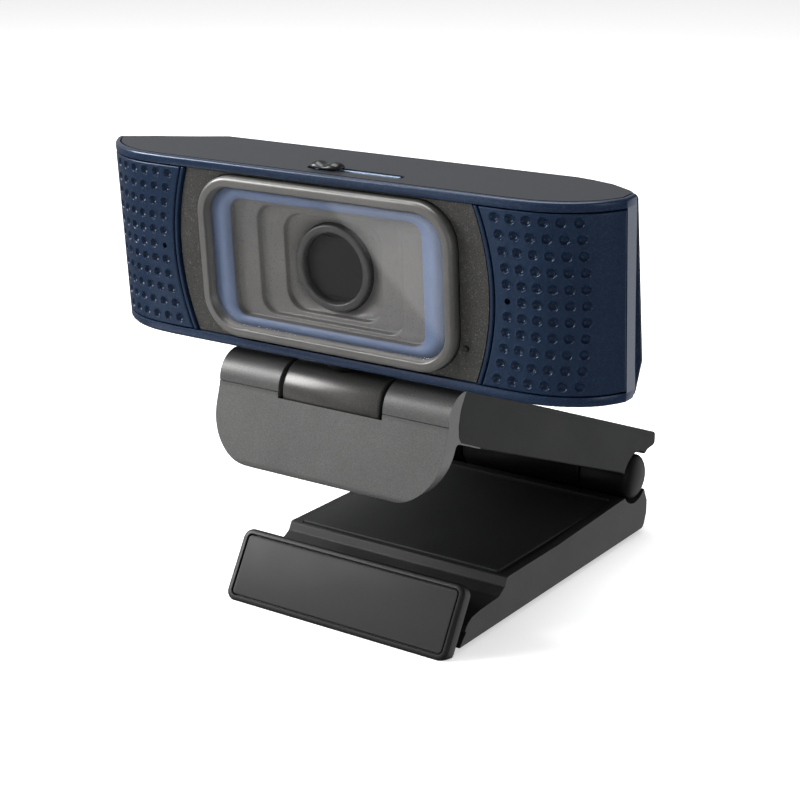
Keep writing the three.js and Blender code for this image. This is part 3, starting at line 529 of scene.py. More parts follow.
def around(profile, plain):
    """Sections along the front, left to right. Past the corners the plain profile is used."""
    order = [i for i in range(len(LOOP)) if LOOP[i][1] <= SPLIT]
    rings = []
    for i in [i for i in order if LOOP[i][0] < 0] + [i for i in order if LOOP[i][0] >= 0]:
        x, y = LOOP[i]
        if y > CORNER[1] + 0.01:
            shapes = [plain]
        elif abs(y - CORNER[1]) < 0.01:
            shapes = [plain, profile] if x < 0 else [profile, plain]
        else:
            shapes = [profile]
        rings += [section(i, shape) for shape in shapes]
    return rings


def top_edge(r):
    """Rounded edge (inset, z) under the top, inner end first."""
    return [(r - r * math.sin(a), TOP - r + r * math.cos(a)) for a in np.linspace(0, math.pi / 2, 6)]


def foot_edge(r):
    """Rounded edge (inset, z) over the bottom, outer end first."""
    return [(r - r * math.cos(a), BOTTOM + r - r * math.sin(a)) for a in np.linspace(0, math.pi / 2, 6)]


def sharpen(ob, degrees):
    """Smooth shading that keeps the edges sharper than the angle."""
    ob.data.shade_smooth()
    ob.data.set_sharp_from_angle(angle=math.radians(degrees))


def build_shells():
    """Front shell: a skin round the front and the ends, and a floor under it."""
    profile = [(0.82, TOP)] + top_edge(0.45)
    profile += [(0.0, PANEL_TOP + 0.22), (0.06, PANEL_TOP + 0.06), (0.22, PANEL_TOP)]
    profile += [(PANEL_IN, PANEL_TOP), (PANEL_IN, FLARE_Z), (PANEL_IN, PANEL_BOTTOM)]
    profile += [(0.22, PANEL_BOTTOM), (0.06, PANEL_BOTTOM - 0.06), (0.0, PANEL_BOTTOM - 0.22)] + foot_edge(0.6)
    profile += [(2.7, BOTTOM), (2.7, TOP - 1.0), (0.9, TOP - 1.0), (0.9, TOP - 0.12)]
    plain = [(0.0 if abs(d - PANEL_IN) < 0.01 or (d < 0.3 and abs(z) < 15.6) else d, z) for d, z in profile]
    shell = lofted("front_shell_skin", around(profile, plain), HEAD, closed=False, caps=True)
    holes = [drill(0.6, -2, 4, "y", at, HEAD, 24) for at in ((-MIC_X, PANEL_MID), (MIC_X, PANEL_MID), LIGHT)]
    window = prism("window", rounded_rect(GLASS_W - 2, GLASS_H - 1, 4.7), -1, 6, "y", HEAD)
    slot = prism("slot", rounded_rect(19.2, 1.9, 0.9, *SLOT_AT), 14, 18, "z", HEAD)
    cut(shell, *holes, window, slot)
    sharpen(shell, 40)
    dress(shell, "navy", "head", ("front_shell",))

    outline = [p for p in plan(2.4) if p[1] < SPLIT]
    under = prism("front_shell_floor", outline, BOTTOM + 0.03, BOTTOM + 1.4, "z", HEAD)
    cut(under, drill(3.3, -20, -12, "z", (0, 5.65), HEAD, 48))
    dress(under, "navy", "head", bevel=0.12)


def build_rear():
    """Rear shell with its screw holes, cable inlet and vents, all guessed."""
    profile = [(0.9, TOP)] + top_edge(0.7) + [(0.0, FLARE_Z)] + foot_edge(1.2)
    profile += [(1.4, BOTTOM), (1.4, TOP - 1.0), (0.9, TOP - 1.0)]
    rings = [section(i, profile, SPLIT + 0.3) for i in range(len(LOOP)) if LOOP[i][1] > SPLIT - 0.01]
    shell = lofted("rear_shell_skin", rings, HEAD, closed=False, caps=True)
    holes = [drill(1.8, 10, 30, "y", (x, z), HEAD, 32) for x in (-30, 30) for z in (-11, 11)]
    holes.append(drill(3.5, 10, 30, "y", (-22, -4), HEAD, 40))
    vents = [prism("vent", rounded_rect(1.2, 9, 0.58, x, 0), 15, 19, "y", HEAD) for x in range(-6, 13, 3)]
    cut(shell, *holes, *vents)
    sharpen(shell, 40)
    dress(shell, "rear", "head", ("rear_shell",))
    outline = [p for p in plan(1.1) if p[1] > SPLIT + 0.3]
    floor = prism("rear_shell_floor", outline, BOTTOM + 0.03, BOTTOM + 1.2, "z", HEAD)
    dress(floor, "rear", "head", bevel=0.1)


def build_cover():
    """Top cover, and the pale strip seen in the slot of the shutter."""
    cover = prism("top_cover_skin", plan(1.12), TOP - 0.6, TOP + 0.02, "z", HEAD)
    cut(cover, prism("slot", rounded_rect(19.6, 2.3, 1.1, *SLOT_AT), 14, 18, "z", HEAD))
    dress(cover, "top", "head", ("top_cover",), bevel=0.14)
    pale = rounded_rect(17.6, 0.56, 0.26, SLOT_AT[0], 5.0)      # lies behind the shutter's stem
    strip = prism("slot_strip", pale, TOP - 0.9, TOP - 0.12, "z", HEAD)
    dress(strip, "strip", "head", bevel=0.1)


# ---- front panels ------------------------------------------------------------------------
def bezel_half(z):
    """Half width of the bezel at height z: its sides bow outwards."""
    u = (z - PANEL_MID) / ((PANEL_TOP - PANEL_BOTTOM) / 2)
    return 32.8 - 2.9 * u * u


FRONT = np.array([(0.0, 0.0)] + FRONT_HALF)
FRONT_S = np.concatenate([[0], np.cumsum(np.hypot(*np.diff(FRONT, axis=0).T))])
FRONT_N = np.array([(0.0, 1.0)] + [STEP_IN[i] for i in range(len(FRONT_HALF))])
FRONT_N[-1] = FRONT_N[-2]
PANEL_END = FRONT_S[-1] - 0.05


def on_front(s, inset):
    """Point x, y of the front skin at arc length s, moved inwards."""
    x, y = np.interp(s, FRONT_S, FRONT[:, 0]), np.interp(s, FRONT_S, FRONT[:, 1])
    nx, ny = np.interp(s, FRONT_S, FRONT_N[:, 0]), np.interp(s, FRONT_S, FRONT_N[:, 1])
    length = np.hypot(nx, ny)
    return x + nx / length * inset, y + ny / length * inset


def dimples():
    """Places (arc length, z) of the dimples. Columns bow with the bezel. The microphone takes one place."""
    spots = []
    for r in range(DIMPLE_ROWS):
        z = DIMPLE_TOP - DIMPLE_DOWN * r
        u = z / DIMPLE_TOP
        for c in range(DIMPLE_COLUMNS):
            if not (c == 0 and r == DIMPLE_ROWS // 2):
                bow = 2.2 - 1.02 * c / (DIMPLE_COLUMNS - 1)
                spots.append((MIC_X + DIMPLE_ACROSS * c - bow * u * u, z))
    return spots


def dimple_depth(s, z):
    """Depth of round hollows, each with a low raised lip."""
    depth = np.zeros_like(s)
    for ds, dz in dimples():
        r = np.hypot(s - ds, z - dz) / DIMPLE_R
        inside = r < 1
        depth[inside] += DIMPLE_DEPTH * np.sqrt(1 - r[inside] ** 2)
        ridge = np.abs(r - 1.1) < 0.18
        depth[ridge] -= 0.05 * (1 - (np.abs(r[ridge] - 1.1) / 0.18) ** 2)
    return depth


def build_grille(side, name):
    """Skin of one dimpled panel: a fine grid on the front's curve, with rolled rims."""
    z0, z1 = PANEL_BOTTOM + 0.18, PANEL_TOP - 0.18
    rim = [(0.0, 1.1), (0.0, 0.28), (0.05, 0.10), (0.14, 0.03), (0.28, 0.0)]     # way in from the edge, inset
    rim_at, rim_in = [o for o, _ in rim[:-1]], [d for _, d in rim[:-1]]
    step = 0.15
    rows, columns = int((z1 - z0 - 0.56) / step), int(19 / step)
    zs = [z0 + o for o in rim_at] + list(np.linspace(z0 + 0.28, z1 - 0.28, rows))
    zs += [z1 - o for o in rim_at[::-1]]
    z_in = rim_in + [0.0] * rows + rim_in[::-1]
    s_in = rim_in + [0.0] * columns + rim_in[::-1]
    grid_s, grid_z, grid_d = [], [], []
    for z, dz in zip(zs, z_in):
        start = bezel_half(z) + 0.8 + 0.3       # past the accent strip and its gap
        row = [start + o for o in rim_at] + list(np.linspace(start + 0.28, PANEL_END - 0.28, columns))
        row += [PANEL_END - o for o in rim_at[::-1]]
        grid_s.append(row)
        grid_z.append([z] * len(row))
        grid_d.append([max(dz, d) for d in s_in])
    s, z, d = np.array(grid_s), np.array(grid_z), np.array(grid_d)
    x, y = on_front(s, np.maximum(d, 0) + np.where(d == 0, dimple_depth(s, z), 0))
    verts = np.stack([side * x, y, z], -1).reshape(-1, 3)
    nr, nc = s.shape
    faces = [(r * nc + c, r * nc + c + 1, (r + 1) * nc + c + 1, (r + 1) * nc + c)
             for r in range(nr - 1) for c in range(nc - 1)]
    back = [r * nc for r in range(nr)] + [(nr - 1) * nc + c for c in range(1, nc)]
    back += [r * nc + nc - 1 for r in range(nr - 2, -1, -1)] + list(range(nc - 2, 0, -1))
    skin = mesh_from(name, verts, faces + [tuple(back)], HEAD)
    cut(skin, drill(0.52, -2, 4, "y", (side * MIC_X, PANEL_MID), HEAD, 28))
    sharpen(skin, 50)
    return skin


def arc_side(side, grow, z0, z1):
    """Bowed edge of the bezel, moved outwards by grow."""
    return [(side * (bezel_half(z) + grow), z) for z in np.linspace(z0, z1, 40)]


def build_front_panels():
    """Dimpled panels, the thin strips beside them, and the bezel between."""
    for side, word in ((-1, "left"), (1, "right")):
        dress(build_grille(side, f"grille_skin_{word}"), "grille", "head", (f"grille_{word}",))
        z0, z1 = PANEL_BOTTOM + 0.16, PANEL_TOP - 0.16
        outer, inner = arc_side(side, 0.8, z0, z1), arc_side(side, 0.12, z0, z1)
        strip = prism(f"accent_strip_skin_{word}", outer + inner[::-1], 0.0, 1.1, "y", HEAD)
        dress(strip, "grille", "head", (f"accent_strip_{word}",), bevel=0.2)
    z0, z1 = PANEL_BOTTOM + 0.15, PANEL_TOP - 0.15
    bezel = prism("bezel_skin", arc_side(1, -0.3, z0, z1) + arc_side(-1, -0.3, z1, z0), 0.5, 1.1, "y", HEAD)
    opening = prism("opening", rounded_rect(FRAME_W + 0.4, FRAME_H + 0.4, FRAME_R + 0.2), -1, 3, "y", HEAD)
    cut(bezel, opening, drill(0.55, -2, 4, "y", LIGHT, HEAD, 28))
    dress(bezel, "bezel", "head", ("centre_bezel",), bevel=0.15)


def build_window():
    """Metal frame, clear pane and printed border."""
    # the frame's profile: outset from the glass opening, y back from the skin
    rim = FRAME_RIM
    profile = [(rim, 1.1), (rim, -0.7)]
    profile += arc(rim - 0.75, -0.7, 0.75, 0, -90, 7)[1:]
    profile += [(0.75, -1.47)]
    profile += arc(0.55, -1.27, 0.2, -90, -180, 4)
    profile += [(0.28, -0.62), (0.0, -0.5), (0.0, 0.6), (-1.0, 0.6), (-1.0, 1.1)]
    rings = list(zip(*outset_loops(profile, GLASS_W, GLASS_H, GLASS_R, 16)))
    dress(lofted("lens_frame_ring", rings, HEAD), "frame", "head", ("lens_frame",))
    glass = prism("window_pane", rounded_rect(GLASS_W - 0.1, GLASS_H - 0.1, GLASS_R - 0.05), GLASS_Y - 0.1,
                  GLASS_Y + 0.5, "y", HEAD)
    dress(glass, "glass", "head", ("cover_glass",), bevel=0.12)
    # the printed border lies just behind the glass
    outer = rounded_rect(GLASS_W - 0.1, GLASS_H - 0.1, GLASS_R - 0.05, steps=20)
    inner = rounded_rect(*STEPS[0], steps=20)
    y0, y1 = GLASS_Y + 0.55, GLASS_Y + 0.7
    rings = [[(o[0], y0, o[1]), (i[0], y0, i[1]), (i[0], y1, i[1]), (o[0], y1, o[1])]
             for o, i in zip(outer, inner)]
    dress(lofted("window_print", rings, HEAD), "border", "head")


def build_recess():
    """Stepped recess behind the pane, and the ring round the lens."""
    outer = (GLASS_W - 3.2, GLASS_H - 1.8, 4.2)
    stack = [(*outer, FLOOR_Y[3] + 0.2), (*outer, FLOOR_Y[0])]
    for (w, h, r), top, low in zip(STEPS, FLOOR_Y, FLOOR_Y[1:]):
        for grow, y in ((0.22, top), (0.07, top + 0.06), (0.0, top + 0.22), (-0.12, low - 0.22),
                        (-0.2, low - 0.06), (-0.36, low)):
            stack.append((w + 2 * grow, h + 2 * grow, max(r + grow, 0.3), y))
    stack += [(16.0, 16.0, 7.9, FLOOR_Y[3]), (16.0, 16.0, 7.9, FLOOR_Y[3] + 0.2)]
    loops = [[(x, y, z + (LENS_Z if w < 17 else 0)) for x, z in rounded_rect(w, h, r, steps=18)]
             for w, h, r, y in stack]
    body = lofted("recess_steps", list(zip(*loops)), HEAD)
    dress(body, "recess", "head", ("stepped_recess",))
    y = FLOOR_Y[2] - 0.15
    ring = [(7.7, FLOOR_Y[3] + 0.1), (7.7, y + 0.25), (7.62, y + 0.07), (7.45, y), (6.6, y), (6.42, y + 0.07),
            (6.3, y + 0.3), (6.15, FLOOR_Y[3] + 0.1)]
    ring = turned("lens_ring_skin", ring, "y", (0, LENS_Z), HEAD, 96)
    dress(ring, "ring", "head", ("lens_ring",))


def build_shutter():
    """Privacy shutter, drawn closed: blade, stem and knob."""
    closed = SLOT_LEFT + 0.7 + KNOB_HALF
    blade = prism("shutter_blade", rounded_rect(14.8, 19.0, 1.2, 0, 1.9), 3.55, 3.95, "y", HEAD)
    flat = filleted([(-5.6, -5.4, 1.5), (5.6, -5.4, 1.5), (5.6, 5.2, 2.0), (-5.6, 5.2, 2.0)], 8)
    face = prism("flat", flat, 3.38, 3.6, "y", HEAD)
    join(blade, face)
    dress(blade, "blade", "shutter", bevel=0.1)
    stem = prism("shutter_stem", rounded_rect(3.2, 0.85, 0.3, closed, 4.18), 9.6, TOP + 0.5, "z", HEAD)
    dress(stem, "blade", "shutter", bevel=0.1)
    # the knob is a low oval dome with a dip in its middle
    rings, base = [], TOP + 0.25
    for i in range(33):
        t = -math.cos(math.pi * i / 32)
        x = closed + KNOB_HALF * t
        end = math.sqrt(max(0.0, 1 - t ** 4))
        high = 0.1 + (1.0 - 0.5 * math.cos(math.pi * t / 1.2) ** 2 * (abs(t) < 0.6)) * end
        half = 1.55 * (0.45 + 0.55 * end)
        turns = [math.pi * k / 16 for k in range(17)]
        rings.append([(x, SLOT_AT[1] - half * math.cos(a), base + high * math.sin(a) ** 0.8) for a in turns])
    knob = lofted("shutter_knob", rings, HEAD, closed=False, caps=True)
    dress(knob, "knob", "shutter", ("privacy_shutter",))


# ---- stand -------------------------------------------------------------------------------
def arm_top(y):
    return TILT_Z + TILT_R + (TILT_Y - y) * math.tan(ARM_ANGLE) + 0.4


def arm_under(y):
    return arm_top(y) - ARM_THICK / math.cos(ARM_ANGLE)


def front_of_lip(z):
    return TILT_Y - TILT_R + 0.2 - (TILT_Z - z) * math.tan(LIP_ANGLE)


def build_knuckle():
    """Tilt barrel, and the neck that carries the head."""
    half = KNUCKLE_HALF
    profile = [(1.9, -half), (TILT_R - 0.3, -half), (TILT_R - 0.08, -half + 0.1), (TILT_R, -half + 0.35),
               (TILT_R, half - 0.35), (TILT_R - 0.08, half - 0.1), (TILT_R - 0.3, half), (1.9, half)]
    barrel = turned("tilt_barrel", profile, "x", (0, 0), TILTED, 96)
    dress(barrel, "barrel", "knuckle", ("tilt_knuckle",))
    neck = [(0.001, 3.0), (3.0, 3.0), (3.0, 5.6), (3.5, 5.75), (4.2, 5.9), (4.35, 6.1), (4.35, 6.75),
            (4.2, 6.95), (3.0, 6.95), (3.0, 10.1), (0.001, 10.1)]
    dress(turned("neck_post", neck, "z", (0, 1.4), TILTED, 64), "hinge", "knuckle")


def lip_corner(side):
    """Tool that rounds a lower corner of the lip."""
    edge, low, r = side * STAND_HALF, LIP_BOTTOM - 0.1, 10.0
    corner = [(edge + side, low - 3), (edge - side * r, low - 3), (edge - side * r, low + 0.05)]
    corner += [(edge - side * r + side * r * math.sin(a), low + r - r * math.cos(a))
               for a in np.linspace(0.05, math.pi / 2, 20)]
    corner += [(edge + side, low + r)]
    return prism("corner", corner, -14, 8, "y", STAND)


def build_lip():
    """Front lip of the clip, which wraps the barrel from both sides."""
    back = LIP_THICK / math.cos(LIP_ANGLE)
    crook = TILT_Z - 3.5
    notch = TILT_Z - 0.9
    behind = TILT_Y + TILT_R
    outline = arc(TILT_Y, TILT_Z, TILT_R, 60, 178, 28)
    outline += [(front_of_lip(notch) - 0.05, notch)]
    outline += filleted([(front_of_lip(35), 35, 0), (front_of_lip(LIP_BOTTOM), LIP_BOTTOM, 1.1),
                         (front_of_lip(LIP_BOTTOM) + back, LIP_BOTTOM - 0.6, 1.1),
                         (front_of_lip(36) + back, 36, 0)], 6)
    outline += filleted([(front_of_lip(37) + back, 37, 0), (front_of_lip(crook) + back, crook, 1.2),
                         (behind, arm_under(behind), 0), (behind, TILT_Z + 3, 0)], 6)
    lip = prism("clip_lip", outline, -STAND_HALF, STAND_HALF, "x", STAND)
    room = KNUCKLE_HALF + 0.9
    around_barrel = prism("room", arc(TILT_Y, TILT_Z, TILT_R + 0.3, 0, 352, 44), -room, room, "x", STAND)
    above = [(-5, notch), (behind + 0.9, notch), (behind + 0.9, 60), (-5, 60)]
    above = prism("room", above, -room, room, "x", STAND)
    cut(lip, around_barrel, above, lip_corner(-1), lip_corner(1))
    skin = front_of_lip(TILT_Z)
    seam = [(skin - 1.2, TILT_Z - 0.12), (skin + 0.16, TILT_Z - 0.1), (skin + 0.16, TILT_Z + 0.02),
            (skin - 1.2, TILT_Z + 0.02)]
    cut(lip, prism("seam", seam, -30, 30, "x", STAND))
    dress(lip, "lip", "upper_jaw", ("jaw_lip",), bevel=0.35, angle=38)


def build_arm():
    """Sloping arm of the upper jaw."""
    rear = HINGE_Y + 8.2
    front = TILT_Y + TILT_R + 0.3
    outline = [(front, arm_under(front)), (HINGE_Y - 6.8, arm_under(HINGE_Y - 6.8))]
    outline += arc(HINGE_Y, HINGE_Z, HINGE_CLEAR, 157, 47, 24)
    outline += filleted([(HINGE_Y + 5.0, HINGE_Z + 4.6, 0), (rear, arm_top(rear) - 2.6, 1.0),
                         (rear, arm_top(rear), 0.8), (rear - 4, arm_top(rear - 4), 0)], 5)
    outline += [(front, arm_top(front))]
    arm = prism("clip_arm", outline, -STAND_HALF, STAND_HALF, "x", STAND)
    # shallow pocket under the arm for its grip pad
    y0, y1 = TILT_Y + TILT_R + 4.7, HINGE_Y - 12 - 4.7
    z0, z1 = arm_under(y0), arm_under(y1)
    pocket = [(y0, z0 - 1), (y1, z1 - 1), (y1, z1 + 1.1), (y0, z0 + 1.1)]
    cut(arm, prism("room", pocket, -STAND_HALF + 4.7, STAND_HALF - 4.7, "x", STAND))
    dress(arm, "arm", "upper_jaw", ("jaw_arm",), bevel=0.3)
    # dark cheeks that carry the arm's sides forward to the barrel
    cheek = [(6.94, 48.04), (9.05, 47.36), (12.3, 46.15), (12.3, 36.32), (11.2, 36.78), (5.4, 39.2),
             (4.7, 40.4), (4.6, 42.4), (5.3, 45.2)]
    for side, word in ((-1, "left"), (1, "right")):
        lo, hi = sorted((side * (STAND_HALF - 0.2), side * (STAND_HALF + 0.04)))
        piece = prism(f"arm_cheek_{word}", cheek, lo, hi, "x", STAND)
        dress(piece, "arm", "upper_jaw", bevel=0.02)
    # ridges behind the lip, apart in the middle to leave the neck its room
    ridge = filleted([(8.4, 44, 0), (8.4, 48.45, 0.8), (12.6, 48.45, 1.6), (15.5, 45, 0.5), (15.5, 44, 0)], 5)
    for word, x0, x1 in (("left", -22.5, -5.4), ("right", 5.4, 22.5)):
        piece = prism(f"arm_ridge_{word}", ridge, x0, x1, "x", STAND)
        dress(piece, "arm", "upper_jaw", bevel=0.3)


def build_drum(name, x0, x1, replaced, body, dome=0):
    """Hinge drum from x0 to x1. Its left (-1) or right (1) end can be a closed dome."""
    lip, bend = 0.3, np.linspace(0.1, math.pi / 2, 12)
    if dome < 0:
        profile = [(0.001, x0 - 1.6)]
        profile += [(HINGE_R * math.sin(a), x0 + 0.4 - 2.0 * math.cos(a)) for a in bend]
    else:
        profile = [(1.9, x0), (HINGE_R - lip, x0), (HINGE_R, x0 + lip)]
    if dome > 0:
        profile += [(HINGE_R * math.sin(a), x1 - 0.4 + 2.0 * math.cos(a)) for a in bend[::-1]]
        profile += [(0.001, x1 + 1.6), (0.001, x1 - 2), (1.9, x1 - 2)]
    else:
        profile += [(HINGE_R, x1 - lip), (HINGE_R - lip, x1), (1.9, x1)]
    if dome < 0:
        profile += [(1.9, x0 + 2), (0.001, x0 + 2)]
    drum = turned(name, profile, "x", (HINGE_Y, HINGE_Z), STAND, 64)
    sharpen(drum, 50)
    dress(drum, "hinge", body, (replaced,))


def build_hinge():
    """Rear hinge: two fixed drums and a middle one that turns with the arm."""
    end, middle, gap = 24.2, 14.0, 0.3
    build_drum("hinge_cap_left", -end, -middle - gap, "hinge_drum_left", "base", -1)
    build_drum("hinge_barrel", -middle, middle, "hinge_drum_middle", "upper_jaw")
    build_drum("hinge_cap_right", middle + gap, end, "hinge_drum_right", "base", 1)


def build_base():
    """Lower jaw: body, deck and the hubs of the foot."""
    rear, low, high = 77.0, 1.0, 9.0
    front = 21.6
    foot_y, foot_z = 8.357, 3.8
    outline = [(5.6, low), (40, low)]
    outline += filleted([(60, low, 0), (rear - 1.2, low, 1.4), (rear, low + 3, 2.0), (rear, low + 5.6, 0)], 6)
    outline += arc(HINGE_Y, HINGE_Z, HINGE_CLEAR, -42, -144, 24)
    outline += [(40, high)]
    outline += filleted([(front + 3, high, 0), (front, high, 0.7), (front - 0.9, high - 1.7, 1.0),
                         (front - 3.1, 6.1, 0.9), (12.5, 5.9, 2.0), (9.6, 5.5, 1.5), (7.9, 4.5, 1.5),
                         (7.2, 3.2, 0.6)], 6)
    base = prism("base_shell", outline, -STAND_HALF, STAND_HALF, "x", STAND)
    # room for the deck, the tripod insert, the foot's lugs and four rubber feet
    y0, y1 = front + 0.6, HINGE_Y - HINGE_CLEAR - 1.2
    deck_half, deck_y = STAND_HALF - 2.4, (y0 + y1) / 2
    pocket = rounded_rect(2 * deck_half + 0.5, y1 - y0 + 0.5, 0.8, 0, deck_y)
    tools = [prism("room", pocket, 8.0, 20, "z", STAND), drill(5.3, -5, 7.2, "z", (0, 42), STAND, 48)]
    for shape in (arc(foot_y, foot_z, 2.2, 0, 352, 44), [(0, -1), (foot_y, -1), (foot_y, 8), (0, 8)]):
        tools.append(prism("room", shape, -20.8, 20.8, "x", STAND))
    tools += [drill(3.7, -1, 1.8, "z", (x, y), STAND, 40) for y in (28, 68) for x in (-18, 18)]
    cut(base, *tools)
    dress(base, "base", "base", ("base_body",), bevel=0.3, angle=38)
    y_near, y_far = foot_y + 1.5, foot_y + 2.7
    web = [(y_near, foot_z - 1.6), (y_far, foot_z - 1.6), (y_far, foot_z + 1.2), (y_near, foot_z + 1.2)]
    for a, b, word in ((-9, -4, "left"), (4, 9, "right")):
        profile = [(1.4, a), (1.75, a), (1.9, a + 0.15), (1.9, b - 0.15), (1.75, b), (1.4, b)]
        hub = turned(f"foot_hub_{word}", profile, "x", (foot_y, foot_z), STAND, 40)
        join(hub, prism("web", web, a, b, "x", STAND))
        dress(hub, "base", "base")
    deck = prism("deck_panel", rounded_rect(2 * deck_half, y1 - y0, 0.6, 0, deck_y), 8.3, 9.5, "z", STAND)
    dress(deck, "deck", "base", ("base_deck",), bevel=0.3)


def foot_slab(name, profile):
    """Rounded plate of the foot from a profile (outset, y)."""
    loops = outset_loops(profile, 2 * STAND_HALF, FOOT_LENGTH, 2.0, 12)
    return lofted(name, loops, FOOT, closed=False, caps=True)


def below_ground(top):
    return prism("ground", [(-60, -12), (60, -12), (60, top), (-60, top)], -20, 40, "y", STAND)


def build_foot():
    """Foot plate and its rubber insert."""
    face, back = FOOT_FACE, FOOT_FACE + FOOT_THICK
    plate = foot_slab("foot_shell", [(0.0, back), (0.0, face + 0.55), (-0.12, face + 0.2), (-0.4, face),
                                     (-0.95, face), (-1.06, face + 0.1), (-1.08, face + 0.9)])
    lug = arc(0, 0, 1.9, -90, 90, 18) + [(back - 0.2, 1.8), (back - 0.2, -1.8)]
    join(plate, *[prism("lug", lug, a, b, "x", FOOT) for a, b in ((-20, -11), (-2.4, 2.4), (11, 20))])
    cut(plate, below_ground(0.02))
    sharpen(plate, 40)
    dress(plate, "rim", "foot", ("foot_plate",))
    pad = foot_slab("foot_pad", [(-1.28, face + 0.7), (-1.28, face + 0.28), (-1.36, face + 0.14),
                                 (-1.55, face + 0.08)])
    cut(pad, below_ground(0.3))
    sharpen(pad, 30)
    dress(pad, "pad", "foot", ("foot_insert",))


# ---- carried-over CAD nodes --------------------------------------------------------------
CAD_LOOKS = {
    "board": ["main_board"],
    "dark": ["image_sensor", "image_processor", "lens_housing", "focus_carrier"],
    "steel": ["cable_socket", "microphone_left", "microphone_right", *(f"rear_screw_{i}" for i in (1, 2, 3, 4)),
              "swivel_washer", "tilt_pin", "hinge_pin", "foot_pin"],
    "brass": ["tripod_insert"],
    "rubber": ["arm_grip", *(f"rubber_foot_{i}" for i in (1, 2, 3, 4)), "cable_inlet"],
    "lens": ["front_lens", "rear_lens"],
    "lamp": ["status_light_pipe", "status_light"],
}


def dress_cad():
    """Paints the CAD pieces that no visual piece replaces."""
    for look, names in CAD_LOOKS.items():
        for name in names:
            ob = NODES[name]
            paint(ob, look)
            thin = ob.modifiers.new("join_flats", "DECIMATE")
            thin.decimate_type = "DISSOLVE"
            thin.angle_limit = math.radians(1)
            round_edges(ob, 0.12, 2, 35)
            ob.data.shade_smooth()
            ob.modifiers.new("even_shading", "WEIGHTED_NORMAL").keep_sharp = True


# ---- stage -------------------------------------------------------------------------------
def build_floor():
    """Plain pale floor, hidden from glossy rays so that it does not grey the navy ends."""
    mesh = bpy.data.meshes.new("studio_floor")
    mesh.from_pydata([(-30, -30, 0), (30, -30, 0), (30, 30, 0), (-30, 30, 0)], [], [(0, 1, 2, 3)])
    floor = link("studio_floor", mesh)
    m, _, sh = new_material("pale_floor")
    sh.inputs["Base Color"].default_value = (0.93, 0.93, 0.93, 1)
    sh.inputs["Roughness"].default_value = 0.9
    sh.inputs["Emission Color"].default_value = (1, 1, 1, 1)
    sh.inputs["Emission Strength"].default_value = 0.55
    sh.inputs["Specular IOR Level"].default_value = 0.0
    mesh.materials.append(m)
    floor.visible_glossy = False


def build_world():
    """Grey surroundings: paler on the left, dimmer below the horizon, and one pale patch."""
    world = bpy.data.worlds.new("studio")
    bpy.context.scene.world = world
    world.use_nodes = True
    tree = world.node_tree
    where = tree.nodes.new("ShaderNodeTexCoord").outputs["Generated"]
    split = tree.nodes.new("ShaderNodeSeparateXYZ")
    tree.links.new(where, split.inputs["Vector"])
    fade = scaled(tree, split.outputs["X"], 0.42, 0.09, (-1.0, 1.0))
    below = scaled(tree, split.outputs["Z"], 0.35, 1.0, (-0.25, 0.1))
    # the patch lies low behind the right end, and shows only as a sheen on the side faces
    patch = node(tree, "ShaderNodeVectorMath", operation="DOT_PRODUCT")
    patch.inputs[1].default_value = (0.55, 0.78, -0.29)
    tree.links.new(where, patch.inputs[0])
    glow = scaled(tree, patch.outputs["Value"], 0.0, 1.3, (0.80, 0.96))
    back = tree.nodes["Background"]
    back.inputs["Color"].default_value = (1, 1, 1, 1)
    level = maths(tree, "ADD", maths(tree, "MULTIPLY", fade, below), glow)
    tree.links.new(level, back.inputs["Strength"])


def softbox(name, at, aim, size, power):
    """Rectangular lamp at a place in metres, turned towards its aim."""
    data = bpy.data.lights.new(name, "AREA")
    data.shape = "RECTANGLE"
    data.size, data.size_y = size
    data.energy = power
    ob = bpy.data.objects.new(name, data)
    bpy.context.scene.collection.objects.link(ob)
    ob.location = at
    ob.rotation_euler = (Vector(aim) - Vector(at)).to_track_quat("-Z", "Y").to_euler()
    ob.visible_camera = False
    return ob


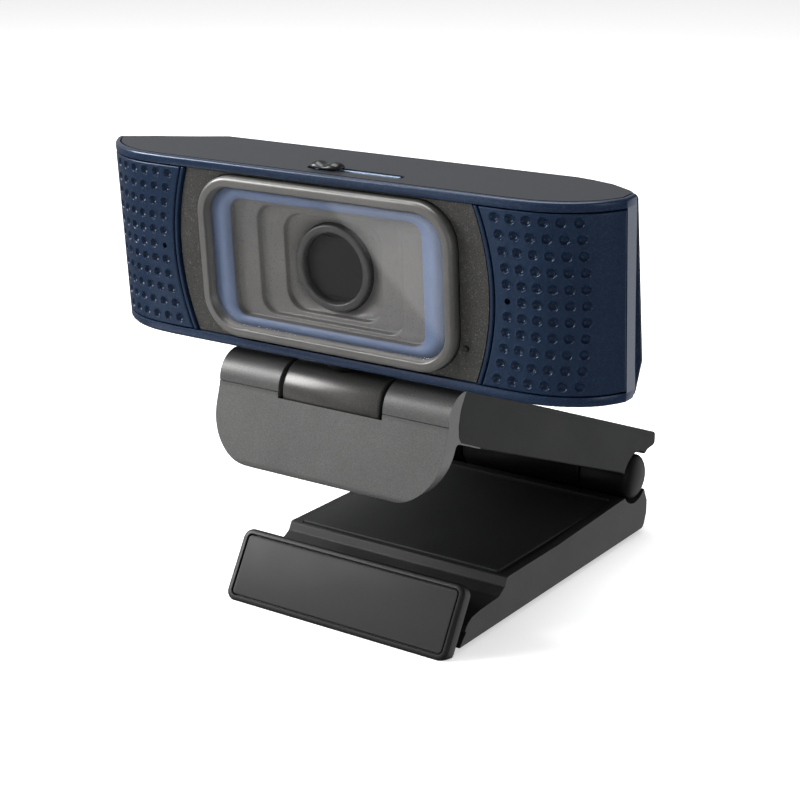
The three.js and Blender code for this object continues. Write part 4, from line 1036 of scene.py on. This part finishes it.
def build_lights():
    centre = (CAD_LOW + CAD_HIGH) / 2
    softbox("key_left", (-0.62, -0.40, 0.40), centre, (0.34, 0.34), 7.0)
    softbox("top", (-0.15, 0.0, 0.8), centre, (0.6, 0.6), 5.5)
    softbox("fill_right", (0.7, -0.35, 0.12), centre, (0.4, 0.3), 0.5)


def build_cards():
    """Two pale cards mirrored in the window as slanting bands of sheen."""
    pane = HEAD @ (Vector((0, GLASS_Y, 0)) * MM)
    along = Vector((-0.5403, -0.738, -0.4046))      # from the pane towards the cards
    side = along.cross(Vector((0, 0, 1))).normalized()
    rise = side.cross(along).normalized()
    slant = (side * 0.62 + rise * 0.78).normalized()
    across = slant.cross(along).normalized()
    away, length = 0.16, 0.16
    cards = (("card_upper", 0.040, 0.052, 0.020), ("card_lower", -0.046, 0.050, 0.018))
    for name, shift, width, power in cards:
        card = softbox(name, pane + along * away + across * shift, pane, (width, length), power)
        card.rotation_euler = Matrix((across, slant, -along)).transposed().to_euler()
        card.visible_diffuse = False


def build_camera():
    """Camera that sees the object as the photograph does."""
    data = bpy.data.cameras.new("camera")
    data.sensor_width = 36
    data.lens = 80.3
    data.clip_start, data.clip_end = 0.01, 100
    camera = bpy.data.objects.new("camera", data)
    bpy.context.scene.collection.objects.link(camera)
    azimuth, elevation, distance = math.radians(34.51), math.radians(17.50), 0.34046
    back = Vector((math.sin(azimuth) * math.cos(elevation), -math.cos(azimuth) * math.cos(elevation),
                   math.sin(elevation)))
    aim = (CAD_LOW + CAD_HIGH) / 2 + Vector((-5.8, -7.0, -7.9)) * MM
    camera.location = aim + back * distance
    camera.rotation_euler = (math.pi / 2 - elevation, 0, azimuth)
    bpy.context.scene.camera = camera


build_shells()
build_rear()
build_cover()
build_front_panels()
build_window()
build_recess()
build_shutter()
build_knuckle()
build_lip()
build_arm()
build_hinge()
build_base()
build_foot()
dress_cad()
build_floor()
build_world()
build_lights()
build_cards()
build_camera()
bpy.context.scene.view_settings.view_transform = "Standard"
